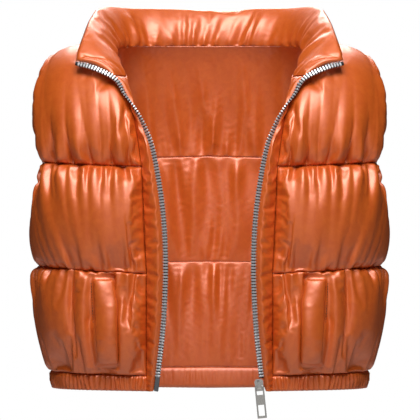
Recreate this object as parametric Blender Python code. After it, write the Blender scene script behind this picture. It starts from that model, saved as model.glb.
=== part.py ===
"""A cropped puffer vest, worn open and filled out, with no one in it.

Sizes are in millimetres and are turned to metres where a mesh is made. +Z is up, the front
faces -Y, and the origin is at the middle of the neck, at the height of the neck seam. Shapes
are worked out for the viewer's left side (-X) and mirrored for the right one.
"""

import math

import bmesh
import bpy
import numpy as np

# Mesh fineness
MM = 0.001
FRONT_COLUMNS = 24
SHOULDER_COLUMNS = 12
ARM_COLUMNS = 9
COARSE = 3
ROW_SHARES = np.array((0.0, 0.03, 0.08, 0.20, 0.36, 0.55, 0.74, 0.88, 0.96, 1.0))
NECK_SHARES = np.array((0.0, 0.02, 0.05, 0.10, 0.16, 0.22, 0.29, 0.36, 0.42))
PANEL_SHARES = np.array((0.42, 0.50, 0.58, 0.67, 0.77, 0.88, 0.96, 1.0))
TOP_SHARES = np.concatenate((NECK_SHARES, PANEL_SHARES[1:]))
HEM_SHARES = np.array((0.0, 0.2, 0.85, 1.0))
BAND_SHARES = np.array((0.0, 0.15, 0.45, 0.75, 1.0))
COLLAR_SHARES = np.array((0.0, 0.08, 0.25, 0.5, 0.75, 0.93, 1.0))

# Wall sizes
GAP = 0.3
SEAM_OUT = 2.5
SEAM_IN = 3.0
FRONT_PUFF = 22.0
SIDE_PUFF = {"top": 11.0, "middle": 5.0, "bottom": 9.5}
BACK_PUFF = 24.0
PUFF_ROUNDNESS = 0.55
EDGE_ROLL = 22.0
LAPEL_ROLL = 70.0
LAPEL_SHARE = 0.45
LAPEL_POWER = 1.2
NECK_RISE = 0.6
NECK_POWER = 1.3
SHOULDER_RISE = 0.1
SHOULDER_POWER = 0.8

# Gathers: how far their ridges stand out, how far they reach into a tier, and how uneven they are
GATHER_HEIGHT = 4.2
GATHER_REACH = 0.12
GATHER_SHARES = (1.0, 0.55, 0.85, 0.4, 0.95, 0.7, 0.5)

# Rings of stitching round the body. The join is where a front meets its band.
RING_COLUMNS = ("front_z", "side_z", "back_z", "join_x", "join_y", "half_width", "back_y")
RINGS = (
    (-174.0, -165.0, -157.0, 98.0, 137.0, 252.0, 125.0),
    (-329.0, -316.0, -312.5, 91.0, 138.0, 248.5, 125.0),
    (-477.0, -470.0, -468.0, 91.0, 124.0, 230.5, 112.0),
    (-499.3, -496.0, -499.3, 91.0, 121.0, 227.0, 108.0),
)
FRONT_ROUNDNESS = 2.6
BACK_ROUNDNESS = 3.0

# Join, depth and width of the rings that even steps round the body are measured on
FRONT_TURN_RING = (94.0, 137.0, 250.0)
BACK_TURN_RING = (0.0, 125.0, 250.0)

# Hem band: heights of its outer rows, ribs on the middle rows, and its inside
HEM_HEIGHTS = (2.0, 3.2, 3.2, 1.2)
HEM_RIB = 0.7
HEM_INSIDE = 2.6

# Armhole
ARM_HALF_DEPTH = 62.0
UNDERARM_SHARE = 0.53
ARM_FLARE = 15.0
ARM_FLARE_SKEW = 1.4

# Neckline and shoulder seam, from the band to the back of the neck
SHOULDER_TIP = (-229.0, 12.0, -22.0)
SHOULDER_BOW = 7.5
NECK_SIDE = (-131.0, 30.0, 2.0)
FRONT_NECK = (
    NECK_SIDE,
    (-135.0, -18.0, -3.0),
    (-133.0, -62.0, -20.0),
    (-129.0, -98.0, -42.0),
)
BACK_NECK = (
    NECK_SIDE,
    (-117.0, 55.0, 1.0),
    (-92.0, 77.0, 0.0),
    (-50.0, 90.0, 0.0),
    (0.0, 93.0, 0.0),
)
NECK_TURN = 62.0
SHOULDER_TURN = 90.0

# Top edge of the collar over the same places
COLLAR_TOP_FRONT = (
    (-193.5, -110.0, -8.0),
    (-186.0, -88.0, 14.0),
    (-177.0, -48.0, 39.0),
    (-167.0, 10.0, 58.0),
)
COLLAR_TOP_BACK = (
    (-167.0, 10.0, 58.0),
    (-150.0, 58.0, 62.5),
    (-118.0, 92.0, 61.0),
    (-62.0, 112.0, 59.0),
    (0.0, 117.0, 57.0),
)
COLLAR_INSIDE = 4.5
COLLAR_OUTSIDE = 3.5
COLLAR_EDGE = 2.0
COLLAR_BOW = 8.0
COLLAR_BACK_BOW = 0.4
COLLAR_ROUNDNESS = 0.6
COLLAR_LIFT = 5.0
COLLAR_BACK_LIFT = 4.0
COLLAR_END_LIFTS = (0.6, 0.6, 0.7, 1.6)

# Zip line: the middle of the teeth and the way that the tape points there
ZIP = (
    (-197.0, -112.0, -22.0, -0.15, -0.40, -0.90),
    (-167.5, -124.0, -30.5, -0.25, -0.40, -0.87),
    (-137.0, -133.0, -46.0, -0.45, -0.55, -0.70),
    (-123.0, -138.0, -68.0, -0.20, -0.93, -0.30),
    (-109.5, -142.0, -87.0, 0.30, -0.95, -0.08),
    (-94.0, -147.0, -116.0, 0.65, -0.76, 0.0),
    (-80.5, -151.0, -155.0, 0.85, -0.53, 0.0),
    (-67.5, -153.0, -236.0, 0.92, -0.40, 0.0),
    (-63.4, -152.0, -316.0, 0.93, -0.37, 0.0),
    (-66.5, -149.0, -400.0, 0.93, -0.37, 0.0),
    (-74.0, -137.0, -470.0, 0.93, -0.37, 0.0),
    (-77.6, -131.0, -499.3, 0.93, -0.37, 0.0),
)
ZIP_TOP_Z = -22.5
ZIP_NECK_Z = -44.0
TAPE_WIDTH = 7.0
TAPE_BACK = 3.6
TAPE_GAP = 0.9
TAPE_THICKNESS = 1.4
TAPE_END_ROOM = 2.0
BAND_PUFF = 6.5
BAND_INSIDE_SHARE = 0.4
LAPEL_INSIDE_SHARE = 0.4
LAPEL_FRONT_LOSS = 0.8
LAPEL_TOP_STEP = 0.6
BAND_EDGE = 2.2
BAND_GAP = 0.45
BAND_FULL_WIDTH = 26.0
LAPEL_END_Z = -125.0
MITRE_END_Z = -165.0
MITRE_REACH = 60.0

# Pocket welts, by the columns and rows of the bottom tier that they lie on
WELT_COLUMNS = (4, 7)
WELT_ROWS = (2, 7)
WELT_HEIGHT = 7.0
WELT_EDGE = 2.2
WELT_SHARES = np.array((0.0, 0.12, 0.5, 0.88, 1.0))
WELT_ROUNDNESS = 0.5
WELT_END_ROUNDNESS = 0.35

# Zip hardware on the viewer's right, tilted with the zip. Heights are from the slider's middle.
SLIDER_CENTRE = (71.9, -133.5, -490.3)
SLIDER_TILT = math.radians(5.6)
SLIDER_HEIGHT = 17.5
SLIDER_TOP_WIDTH = 12.8
SLIDER_END_WIDTH = 11.0
SLIDER_DEPTH = 8.4
SLIDER_PLATE = 2.4
SLIDER_POST = (3.6, 7.0)
SLIDER_POST_DROP = 0.8
SLIDER_CROWN = 0.62
SLIDER_SHOULDER = (3.0, 6.5)
SLIDER_WAIST = 11.0
SLIDER_FOOT = (0.75, 1.6)
BAIL_WIDTH = 4.6
BAIL_DEPTH = 5.6
BAIL_ROOM = 3.9
BAIL_HEIGHTS = (7.0, 5.3, -3.9, -5.6)
BAIL_BROW = (3.2, 2.6)
BAIL_CHIN = (1.8, 2.0)
BAIL_ROOF_CORNER = (1.1, 1.4)
BAIL_FLOOR_CORNER = (0.8, 0.9)

# Pull tab. Steps are heights from its pivot: crossbar, slot, plate, hole, end bar.
PIVOT_BELOW = 2.0
PULL_THICKNESS = 2.0
PULL_SIDES = (-6.7, -4.5, 4.5, 6.7)
PULL_STEPS = (1.2, -1.2, -12.3, -26.8, -42.8, -46.3)

# Pin at the lower end of the left tape
PIN_LENGTH = 22.0
PIN_WIDTH = 6.2
PIN_DEPTH = 3.2
METAL_BEVEL = 0.5

# Colours, sRGB
SATIN = (0.80, 0.36, 0.16)
TAPE_GREY = (0.30, 0.29, 0.30)
NICKEL = (0.72, 0.72, 0.72)
SATIN_ROUGHNESS = 0.32
TWILL_ROUGHNESS = 0.7
NICKEL_ROUGHNESS = 0.28


def linear(colour):
    """sRGB to the linear values that a shader takes."""
    return tuple(((value + 0.055) / 1.055) ** 2.4 for value in colour) + (1.0,)


def make_material(name, colour, roughness, metallic=0.0):
    """One Principled material with the piece's own colour."""
    material = bpy.data.materials.new(name)
    material.use_nodes = True
    shader = material.node_tree.nodes["Principled BSDF"]
    shader.inputs["Base Color"].default_value = linear(colour)
    shader.inputs["Roughness"].default_value = roughness
    shader.inputs["Metallic"].default_value = metallic
    return material


def satin(name):
    return make_material(name + "_satin", SATIN, SATIN_ROUGHNESS)


def nickel(name):
    return make_material(name + "_nickel", NICKEL, NICKEL_ROUGHNESS, 1.0)


# Curves and grids

def smooth_curve(points, count):
    """Even steps along a smooth curve through the given points."""
    points = np.asarray(points, float)
    ends = np.vstack((2 * points[0] - points[1], points, 2 * points[-1] - points[-2]))
    dense = []
    for start in range(len(points) - 1):
        before, first, second, after = ends[start:start + 4]
        for step in np.linspace(0.0, 1.0, 24, endpoint=False):
            dense.append(0.5 * (2 * first + (second - before) * step
                                + (2 * before - 5 * first + 4 * second - after) * step ** 2
                                + (3 * first - before - 3 * second + after) * step ** 3))
    dense.append(points[-1])
    dense = np.array(dense)
    length = run_length(dense)
    return sample(dense, length, np.linspace(0.0, length[-1], count))


def run_length(points):
    """Distance travelled along the points, in space."""
    steps = np.linalg.norm(np.diff(points[:, :3], axis=0), axis=1)
    return np.concatenate(((0.0,), np.cumsum(steps)))


def sample(points, keys, wanted):
    """Rows of points read at the wanted values of their rising keys."""
    return np.stack([np.interp(wanted, keys, column) for column in points.T], axis=-1)


def unit(vectors):
    vectors = np.asarray(vectors, float)
    return vectors / np.linalg.norm(vectors, axis=-1, keepdims=True)


def grid_normals(grid):
    """Outward normals of a grid whose rows rise and whose columns run away from the front."""
    along = np.gradient(grid, axis=1)
    up = np.gradient(grid, axis=0)
    return unit(np.cross(up, along))


def turn_table(join, depth, width, roundness):
    """Angle for each even share of the way round a quarter of a body ring."""
    angles = np.linspace(0.0, math.pi / 2, 400)
    power = 2.0 / roundness
    ring = np.stack((join + (width - join) * np.sin(angles) ** power,
                     depth * np.cos(angles) ** power), axis=-1)
    steps = np.linalg.norm(np.diff(ring, axis=0), axis=1)
    length = np.concatenate(((0.0,), np.cumsum(steps)))
    return length / length[-1], angles


FRONT_TURN = turn_table(*FRONT_TURN_RING, FRONT_ROUNDNESS)
BACK_TURN = turn_table(*BACK_TURN_RING, BACK_ROUNDNESS)


def ring_values(level):
    """The ring table read at a level between 0 (first seam) and 3 (end of the hem)."""
    rings = np.array(RINGS)
    values = sample(rings, np.arange(len(rings)), level)
    return dict(zip(RING_COLUMNS, np.moveaxis(values, -1, 0)))


def front_point(share, level):
    """A stitch-line point from the band (share 0) to the side seam (share 1)."""
    share, level = np.broadcast_arrays(share, level)
    ring = ring_values(level)
    angle = np.interp(share, *FRONT_TURN)
    power = 2.0 / FRONT_ROUNDNESS
    reach = ring["half_width"] - ring["join_x"]
    x = -(ring["join_x"] + reach * np.sin(angle) ** power)
    y = -ring["join_y"] * np.abs(np.cos(angle)) ** power
    z = ring["front_z"] + (ring["side_z"] - ring["front_z"]) * share
    return np.stack((x, y, z), axis=-1)


def back_point(share, level):
    """A stitch-line point from the side seam (share 0) to the middle of the back (share 1)."""
    share, level = np.broadcast_arrays(share, level)
    ring = ring_values(level)
    angle = np.interp(1.0 - share, *BACK_TURN)
    power = 2.0 / BACK_ROUNDNESS
    x = -ring["half_width"] * np.sin(angle) ** power
    y = ring["back_y"] * np.abs(np.cos(angle)) ** power
    z = ring["side_z"] + (ring["back_z"] - ring["side_z"]) * share
    return np.stack((x, y, z), axis=-1)


def level_normals(row):
    """Level normals of a ring row, pointing away from the body."""
    along = np.gradient(row, axis=0)
    return unit(np.stack((-along[:, 1], along[:, 0], np.zeros(len(row))), axis=-1))


def share_at_depth(point, depth):
    """Share of the way round the first seam where the armhole edge crosses it."""
    shares = np.linspace(0.0, 1.0, 400)
    depths = point(shares, 0.0)[:, 1]
    if depths[0] < 0:
        return float(np.interp(-depth, depths, shares))
    return float(np.interp(depth, depths, shares))


FRONT_ARM = share_at_depth(front_point, ARM_HALF_DEPTH)
BACK_ARM = share_at_depth(back_point, ARM_HALF_DEPTH)


# Walls

def add_object(name, points, faces, material, mirrored=False):
    """A mesh object in metres; a mirrored one is flipped over X."""
    points = np.asarray(points, float) * MM
    if mirrored:
        points = points * (-1.0, 1.0, 1.0)
        faces = [tuple(reversed(face)) for face in faces]
    mesh = bpy.data.meshes.new(name)
    mesh.from_pydata([tuple(point) for point in points], [], faces)
    mesh.materials.append(material)
    mesh.shade_smooth()
    mesh.set_sharp_from_angle(angle=math.radians(50))
    item = bpy.data.objects.new(name, mesh)
    bpy.context.scene.collection.objects.link(item)
    return item


def stitch(first, second, second_leads=False):
    """Triangles between two point rows, both given in the same order. Ties are cut the same
    way on both sides of a seam, so that its two faces match."""
    faces = []
    low, high = 0, 0
    bias = 1e-6 if second_leads else -1e-6
    while low < len(first) - 1 or high < len(second) - 1:
        next_low = (low + 1) / (len(first) - 1) + bias
        next_high = (high + 1) / (len(second) - 1)
        if high == len(second) - 1 or (low < len(first) - 1 and next_low <= next_high):
            faces.append((first[low], second[high], first[low + 1]))
            low += 1
        else:
            faces.append((first[low], second[high], second[high + 1]))
            high += 1
    return faces


def wall(name, outer, inner, material, mirrored=False):
    """A closed wall from an outer grid and a plainer inner grid with the same corners."""
    rows, columns = outer.shape[:2]
    inner_rows, inner_columns = inner.shape[:2]
    outer_ids = np.arange(rows * columns).reshape(rows, columns)
    inner_ids = rows * columns + np.arange(inner_rows * inner_columns).reshape(
        inner_rows, inner_columns)
    faces = []
    for row in range(rows - 1):
        for column in range(columns - 1):
            faces.append((outer_ids[row, column], outer_ids[row, column + 1],
                          outer_ids[row + 1, column + 1], outer_ids[row + 1, column]))
    for row in range(inner_rows - 1):
        for column in range(inner_columns - 1):
            faces.append((inner_ids[row, column], inner_ids[row + 1, column],
                          inner_ids[row + 1, column + 1], inner_ids[row, column + 1]))
    faces += stitch(outer_ids[0], inner_ids[0])
    faces += stitch(inner_ids[-1], outer_ids[-1], second_leads=True)
    faces += stitch(inner_ids[:, 0], outer_ids[:, 0], second_leads=True)
    faces += stitch(outer_ids[:, -1], inner_ids[:, -1])
    faces = [tuple(int(index) for index in face) for face in faces]
    points = np.concatenate((outer.reshape(-1, 3), inner.reshape(-1, 3)))
    return add_object(name, points, faces, material, mirrored)


def both_halves(half):
    """A grid over the back, from a left half that ends at the middle."""
    right = half[:, -2::-1] * (-1.0, 1.0, 1.0)
    return np.concatenate((half, right), axis=1)


def roll(distance, reach):
    """Rise of a puff from 0 at a sewn edge to 1 where the edge no longer tells."""
    left = np.clip(distance / reach, 0.0, 1.0)
    return np.sqrt(1.0 - (1.0 - left) ** 2)


def edge_distance(grid, from_start):
    """Distance of each grid point from its row's first or last point, along the row."""
    steps = np.linalg.norm(np.diff(grid, axis=1), axis=2)
    run = np.concatenate((np.zeros((len(grid), 1)), np.cumsum(steps, axis=1)), axis=1)
    return run if from_start else run[:, -1:] - run


def gathers(shares, columns, calm):
    """Ridges and troughs that fan out of both seams of a tier, one for each column."""
    picks = np.arange(columns) % len(GATHER_SHARES)
    uneven = np.array(GATHER_SHARES)[picks] * (-1.0) ** np.arange(columns)
    near_top = shares / GATHER_REACH * np.exp(1.0 - shares / GATHER_REACH)
    below = 1.0 - shares
    near_end = below / GATHER_REACH * np.exp(1.0 - below / GATHER_REACH)
    return GATHER_HEIGHT * np.outer(near_top + near_end, uneven * calm)


def puffed(base, normals, shares, peak, rolls, calm):
    """Outer grid of a tier: stitch lines with a gathered puff between them."""
    profile = np.sin(np.pi * shares) ** PUFF_ROUNDNESS
    height = np.outer(profile, np.ones(base.shape[1])) * peak
    height = (height + gathers(shares, base.shape[1], calm)) * rolls
    height = SEAM_OUT + np.maximum(height, 0.0)
    return base + normals * height[..., None]


def plain_inside(base, normals, fine=False):
    """Inner grid of a tier, plain and coarse, but fine where its edges curve."""
    step = 1 if fine else COARSE
    return (base - normals * SEAM_IN)[::step, ::step]


# Tiers

def arm_path(arm_share):
    """Shares and levels along the top of the middle tier: first seam, then the underarm."""
    seam = np.linspace(0.0, arm_share, FRONT_COLUMNS - ARM_COLUMNS + 1)
    curve = np.linspace(0.0, math.pi / 2, ARM_COLUMNS + 1)[1:]
    shares = np.concatenate((seam, 1.0 - (1.0 - arm_share) * np.cos(curve)))
    levels = np.concatenate((np.zeros(len(seam)), UNDERARM_SHARE * np.sin(curve)))
    return shares, levels


def half_tier(point, top_level, end_level, arm_share=None):
    """Stitch-line grid of one half of a tier, top row first, from the join or middle outwards."""
    even = np.linspace(0.0, 1.0, FRONT_COLUMNS + 1)
    top_shares, top_levels = even, np.full(len(even), float(top_level))
    if arm_share is not None:
        top_shares, top_levels = arm_path(arm_share)
    part = ROW_SHARES[:, None]
    shares = top_shares + (even - top_shares) * part
    levels = top_levels + (end_level - top_levels) * part
    grid = point(shares, levels)
    grid[0, :, 2] -= GAP / 2
    grid[-1, :, 2] += GAP / 2
    return grid


def lower_tier_front(top_level, end_level, arm_share=None):
    """Stitch-line grid and normals of a front tier below the first seam."""
    grid = half_tier(front_point, top_level, end_level, arm_share)
    normals = grid_normals(grid[::-1])[::-1]
    normals[0] = level_normals(grid[0])
    normals[-1] = level_normals(grid[-1])
    grid[:, -1, 1] = -GAP / 2
    normals[:, -1] = (-1.0, 0.0, 0.0)
    return grid, normals


def lower_tier_back(top_level, end_level, arm_share=None):
    """The same for the whole back, from the left side seam to the right one."""
    outwards = half_tier(lambda share, level: back_point(1.0 - share, level),
                         top_level, end_level, arm_share)
    half = outwards[:, ::-1]
    half[:, 0, 1] = GAP / 2
    grid = both_halves(half)
    normals = grid_normals(grid[::-1])[::-1]
    normals[0] = level_normals(grid[0])
    normals[-1] = level_normals(grid[-1])
    normals[:, 0] = (-1.0, 0.0, 0.0)
    normals[:, -1] = (1.0, 0.0, 0.0)
    return grid, normals


def rising_column(foot, head, shares, turn):
    """A column that leaves its foot upwards and turns over the shoulder to its head."""
    angle = math.radians(turn)
    back = (1.0 - np.cos(angle * shares)) / (1.0 - math.cos(angle))
    rise = np.sin(angle * shares) / math.sin(angle)
    column = foot + (head - foot) * np.stack((shares, back, rise), axis=-1)
    return column


def flared(column, shares, out):
    """A column moved out towards the armhole, most at mid height."""
    flare = ARM_FLARE * np.sin(np.pi * shares ** ARM_FLARE_SKEW) * out ** 3
    return column - np.stack((flare, 0 * flare, 0 * flare), axis=-1)


def shoulder_seam(columns):
    """Points of the shoulder seam, which bows upwards between neck and armhole."""
    across = np.linspace(0.0, 1.0, columns + 1)
    points = np.linspace(NECK_SIDE, SHOULDER_TIP, columns + 1)
    points[:, 2] += SHOULDER_BOW * np.sin(np.pi * across)
    return points


def zip_edge_rows(panel_edge):
    """Heights and points of the edge that a band is sewn to the zip by, row for row."""
    heights = panel_edge[:, 2].copy()
    heights[0] = ZIP_NECK_Z
    teeth, ways = zip_rows(heights)
    return heights, teeth - ways * TAPE_BACK


def lapel_mitre(panel_edge, normals):
    """Normals halfway between a panel and its band where the band turns back as a lapel."""
    across = unit(zip_edge_rows(panel_edge)[1] - panel_edge)
    facing = unit(np.cross(np.gradient(panel_edge, axis=0), across))
    share = np.clip((panel_edge[:, 2] - MITRE_END_Z) / MITRE_REACH, 0.0, 1.0)
    return unit(normals + facing * share[:, None])


def front_top():
    """Top front tier, top row first: neckline and band edge inside, shoulder seam above."""
    across = np.linspace(0.0, 1.0, FRONT_COLUMNS + 1)
    feet = front_point(FRONT_ARM * across, 0.0)
    shoulder = shoulder_seam(FRONT_COLUMNS)
    columns = [rising_column(foot, head, 1.0 - TOP_SHARES, SHOULDER_TURN)
               for foot, head in zip(feet, shoulder)]
    panel_shares = (1.0 - PANEL_SHARES) / (1.0 - PANEL_SHARES[0])
    panel_edge = rising_column(feet[0], np.array(FRONT_NECK[-1]), panel_shares, NECK_TURN)
    neck = smooth_curve(FRONT_NECK, 60)
    neckline = sample(neck, run_length(neck) / run_length(neck)[-1], NECK_SHARES / NECK_SHARES[-1])
    pull = np.concatenate((neckline, panel_edge[1:])) - columns[0]
    grid = np.stack([flared(column + pull * (1.0 - out) ** 2, TOP_SHARES, out)
                     for column, out in zip(columns, across)], axis=1)
    grid[0, :, 1] -= GAP / 2
    grid[-1, :, 2] += GAP / 2
    normals = grid_normals(grid[::-1])[::-1]
    normals[-1] = level_normals(feet)
    normals[0] = (0.0, 0.0, 1.0)
    start = len(NECK_SHARES) - 1
    normals[start:, 0] = lapel_mitre(grid[start:, 0], normals[start:, 0])
    return grid, normals


def back_top():
    """Top back tier, top row first, from the left armhole to the right one."""
    feet = back_point(np.linspace(1.0, BACK_ARM, FRONT_COLUMNS + 1), 0.0)
    neck = smooth_curve(BACK_NECK[::-1], SHOULDER_COLUMNS + 1)
    shoulder = shoulder_seam(SHOULDER_COLUMNS)
    heads = np.concatenate((neck, shoulder[1:]))
    columns = []
    for number in range(FRONT_COLUMNS + 1):
        turn = NECK_TURN + (SHOULDER_TURN - NECK_TURN) * min(1.0, number / SHOULDER_COLUMNS) ** 2
        column = rising_column(feet[number], heads[number], 1.0 - ROW_SHARES, turn)
        columns.append(flared(column, ROW_SHARES, number / FRONT_COLUMNS))
    half = np.stack(columns, axis=1)
    half[0, SHOULDER_COLUMNS:, 1] += GAP / 2
    half[-1, :, 2] += GAP / 2
    normals = grid_normals(half)
    normals[-1] = -level_normals(feet)
    normals[0, SHOULDER_COLUMNS:] = (0.0, 0.0, 1.0)
    return both_halves(half[:, ::-1]), mirror_normals(normals[:, ::-1])


def mirror_normals(half):
    whole = both_halves(half)
    middle = half.shape[1] - 1
    whole[:, middle, 0] = 0.0
    whole[:, middle] = unit(whole[:, middle])
    return whole


def front_rolls(grid):
    """Puff shares of a tier, which sinks to its sewn edges on both sides."""
    return roll(edge_distance(grid, True), EDGE_ROLL) * roll(edge_distance(grid, False), EDGE_ROLL)


def front_top_rolls(grid):
    """Puff shares of a top front tier, which is pressed flat under the collar and the lapel."""
    above = np.clip(1.0 - (TOP_SHARES - NECK_SHARES[-1]) / LAPEL_SHARE, 0.0, 1.0)[:, None]
    from_edge = edge_distance(grid, True)
    pressed = np.clip(from_edge / LAPEL_ROLL, 0.0, 1.0) ** LAPEL_POWER
    inside = pressed * above + roll(from_edge, EDGE_ROLL) * (1.0 - above)
    rise = np.clip(TOP_SHARES / SHOULDER_RISE, 0.0, 1.0)[:, None] ** SHOULDER_POWER
    return inside * roll(edge_distance(grid, False), EDGE_ROLL) * rise


def back_top_rolls(grid):
    """The same for the back: slow to rise from the neckline, faster from the shoulder seam."""
    from_middle = np.abs(np.arange(-FRONT_COLUMNS, FRONT_COLUMNS + 1))
    out = np.clip((from_middle - SHOULDER_COLUMNS) / SHOULDER_COLUMNS, 0.0, 1.0)
    reach = NECK_RISE + (SHOULDER_RISE - NECK_RISE) * out
    power = NECK_POWER + (SHOULDER_POWER - NECK_POWER) * out
    return front_rolls(grid) * np.clip(ROW_SHARES[:, None] / reach, 0.0, 1.0) ** power


def puff_peaks(middle_puff, side_puff, out):
    """Peak of the puff in each column, full in front or behind and less at the side."""
    return middle_puff + (side_puff - middle_puff) * np.abs(out) ** 3


def welt_calm():
    """Gathers are pressed flat under a pocket welt."""
    calm = np.ones(FRONT_COLUMNS + 1)
    calm[WELT_COLUMNS[0] - 1:WELT_COLUMNS[1] + 2] = 0.0
    return calm


def build_fronts():
    """The three tiers of each front, and the edges that the bands are sewn to."""
    tiers = (
        ("top", front_top(), TOP_SHARES, front_top_rolls, 1.0),
        ("middle", lower_tier_front(0, 1, FRONT_ARM), ROW_SHARES, front_rolls, 1.0),
        ("bottom", lower_tier_front(1, 2), ROW_SHARES, front_rolls, welt_calm()),
    )
    edges, edge_normals, bottom_outer = [], [], None
    for level, (grid, normals), shares, rolls, calm in tiers:
        peaks = puff_peaks(FRONT_PUFF, SIDE_PUFF[level], np.linspace(0.0, 1.0, FRONT_COLUMNS + 1))
        outer = puffed(grid, normals, shares, peaks, rolls(grid), calm)
        inner = plain_inside(grid, normals, fine=level == "top")
        for side, mirrored in (("left", False), ("right", True)):
            name = f"front_{side}_{level}"
            wall(name, outer, inner, satin(name), mirrored)
        edges.append(grid[:, 0])
        edge_normals.append(normals[:, 0])
        bottom_outer = outer, normals
    return edges, edge_normals, bottom_outer


def build_back():
    tiers = (
        ("top", back_top(), back_top_rolls),
        ("middle", lower_tier_back(0, 1, 1.0 - BACK_ARM), front_rolls),
        ("bottom", lower_tier_back(1, 2), front_rolls),
    )
    for level, (grid, normals), rolls in tiers:
        peaks = puff_peaks(BACK_PUFF, SIDE_PUFF[level], np.linspace(-1.0, 1.0, grid.shape[1]))
        outer = puffed(grid, normals, ROW_SHARES, peaks, rolls(grid), 1.0)
        name = f"back_{level}"
        inner = plain_inside(grid, normals, fine=level == "top")
        wall(name, outer, inner, satin(name))


def hem_walls(grid, normals):
    """A flat gathered elastic band: fine ribs outside, plain inside."""
    ribs = HEM_RIB * (-1.0) ** np.arange(grid.shape[1])
    height = np.array(HEM_HEIGHTS)[:, None] + np.outer((0.0, 1.0, 1.0, 0.0), ribs)
    outer = grid + normals * height[..., None]
    inner = (grid - normals * HEM_INSIDE)[::COARSE, ::COARSE]
    return outer, inner


def build_hems():
    """The hem band in three pieces, from band to side seam, round the back, and back again."""
    levels = 2.0 + HEM_SHARES[:, None]
    even = np.linspace(0.0, 1.0, FRONT_COLUMNS + 1)
    front = front_point(even, levels)
    back = back_point(even, levels)
    front[0, :, 2] -= GAP / 2
    back[0, :, 2] -= GAP / 2
    front[:, -1, 1] = -GAP / 2
    back[:, 0, 1] = GAP / 2
    front_normals = grid_normals(front[::-1])[::-1]
    front_normals[0] = level_normals(front[0])
    front_normals[:, -1] = (-1.0, 0.0, 0.0)
    whole = both_halves(back)
    back_normals = grid_normals(whole[::-1])[::-1]
    back_normals[0] = level_normals(whole[0])
    back_normals[:, 0] = (-1.0, 0.0, 0.0)
    back_normals[:, -1] = (1.0, 0.0, 0.0)
    outer, inner = hem_walls(front, front_normals)
    for side, mirrored in (("left", False), ("right", True)):
        name = f"hem_{side}"
        wall(name, outer, inner, satin(name), mirrored)
    outer, inner = hem_walls(whole, back_normals)
    wall("hem_back", outer, inner, satin("hem_back"))
    return front[:, 0], front_normals[:, 0]


# Zip line, bands and tapes

def zip_rows(heights):
    """Zip table rows at the given heights."""
    dense = smooth_curve(ZIP, 300)
    rows = sample(dense[::-1], dense[::-1, 2], heights)
    return rows[:, :3], unit(rows[:, 3:])


def band_rows(edges, edge_normals, hem_edge, hem_normals):
    """Rows of a band: the edges of the tiers and the hem, one after the other."""
    start = len(NECK_SHARES) - 1
    points = np.concatenate((edges[0][start:], edges[1][1:], edges[2][1:], hem_edge[1:]))
    normals = np.concatenate((edge_normals[0][start:], edge_normals[1][1:],
                              edge_normals[2][1:], hem_normals[1:]))
    return points, unit(normals)


def tape_normals(teeth, ways):
    """Outward normals of the zip tape, square to the zip line and to the way it points."""
    return unit(np.cross(np.gradient(teeth, axis=0), ways))


def band_grid(edges, edge_normals, hem_edge, hem_normals):
    """Base grid of a band, from the zip to the tiers, with its normals and the zip's heights."""
    panel_edge, panel_normals = band_rows(edges, edge_normals, hem_edge, hem_normals)
    heights, zip_edge = zip_edge_rows(panel_edge)
    teeth, ways = zip_rows(heights)
    across = zip_edge - panel_edge
    past = across - panel_normals * np.sum(across * panel_normals, axis=1, keepdims=True)
    start = panel_edge + unit(past) * BAND_GAP
    grid = start[:, None] + (zip_edge - start)[:, None] * BAND_SHARES[None, ::-1, None]
    normals = grid_normals(grid[::-1])[::-1]
    turned = np.clip(1.0 - BAND_SHARES[::-1] / 0.5, 0.0, 1.0)[None, :, None]
    normals = unit(panel_normals[:, None] * turned + normals * (1.0 - turned))
    normals[:, 0] = tape_normals(teeth, ways)
    return grid, normals, heights


def band_heights(grid):
    """How far a band stands out in front and inside: its top is a lapel, plump inside."""
    width = np.linalg.norm(grid[:, 0] - grid[:, -1], axis=1)
    plump = BAND_PUFF * np.clip(width / BAND_FULL_WIDTH, 0.0, 1.0)
    plump[0], plump[1] = 0.0, plump[1] * LAPEL_TOP_STEP
    bulge = np.sin(np.pi * BAND_SHARES[::-1])
    lapel = np.clip((grid[:, 0, 2] - LAPEL_END_Z) / (ZIP_NECK_Z - LAPEL_END_Z), 0.0, 1.0)
    front = np.outer(plump * (1.0 - LAPEL_FRONT_LOSS * lapel), bulge)
    inside = np.outer(plump * (BAND_INSIDE_SHARE + LAPEL_INSIDE_SHARE * lapel), bulge)
    return BAND_EDGE + front, BAND_EDGE + inside


def build_band(grid, normals):
    """A padded band down each front, which turns its inside out above the chest."""
    front, inside = band_heights(grid)
    outer = grid + normals * front[..., None]
    inner = grid - normals * inside[..., None]
    outer[:, -1] = grid[:, -1] + normals[:, -1] * SEAM_OUT
    inner[:, -1] = grid[:, -1] - normals[:, -1] * SEAM_IN
    for side, mirrored in (("left", False), ("right", True)):
        name = f"band_{side}"
        wall(name, outer, inner, satin(name), mirrored)


def build_tapes(heights):
    """Zip tapes, which point from the band's and the collar's edge into the opening."""
    for side, mirrored, end in (("left", False, RINGS[-1][0] + PIN_LENGTH),
                                ("right", True, SLIDER_CENTRE[2] + SLIDER_HEIGHT / 2 + 3 * GAP)):
        rows = np.append(heights[heights > end + TAPE_END_ROOM], end)
        teeth, ways = zip_rows(rows)
        thick = tape_normals(teeth, ways) * TAPE_THICKNESS / 2
        near = teeth - ways * (TAPE_BACK - TAPE_GAP)
        far = teeth + ways * (TAPE_WIDTH - TAPE_BACK)
        outer = np.stack((far + thick, near + thick), axis=1)
        inner = np.stack((far - thick, near - thick), axis=1)
        name = f"tape_{side}"
        twill = make_material(name + "_twill", TAPE_GREY, TWILL_ROUGHNESS)
        wall(name, outer, inner, twill, mirrored)


# Collar

def collar_zip_heights():
    return np.linspace(ZIP_TOP_Z, ZIP_NECK_Z + GAP, len(COLLAR_SHARES))


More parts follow.
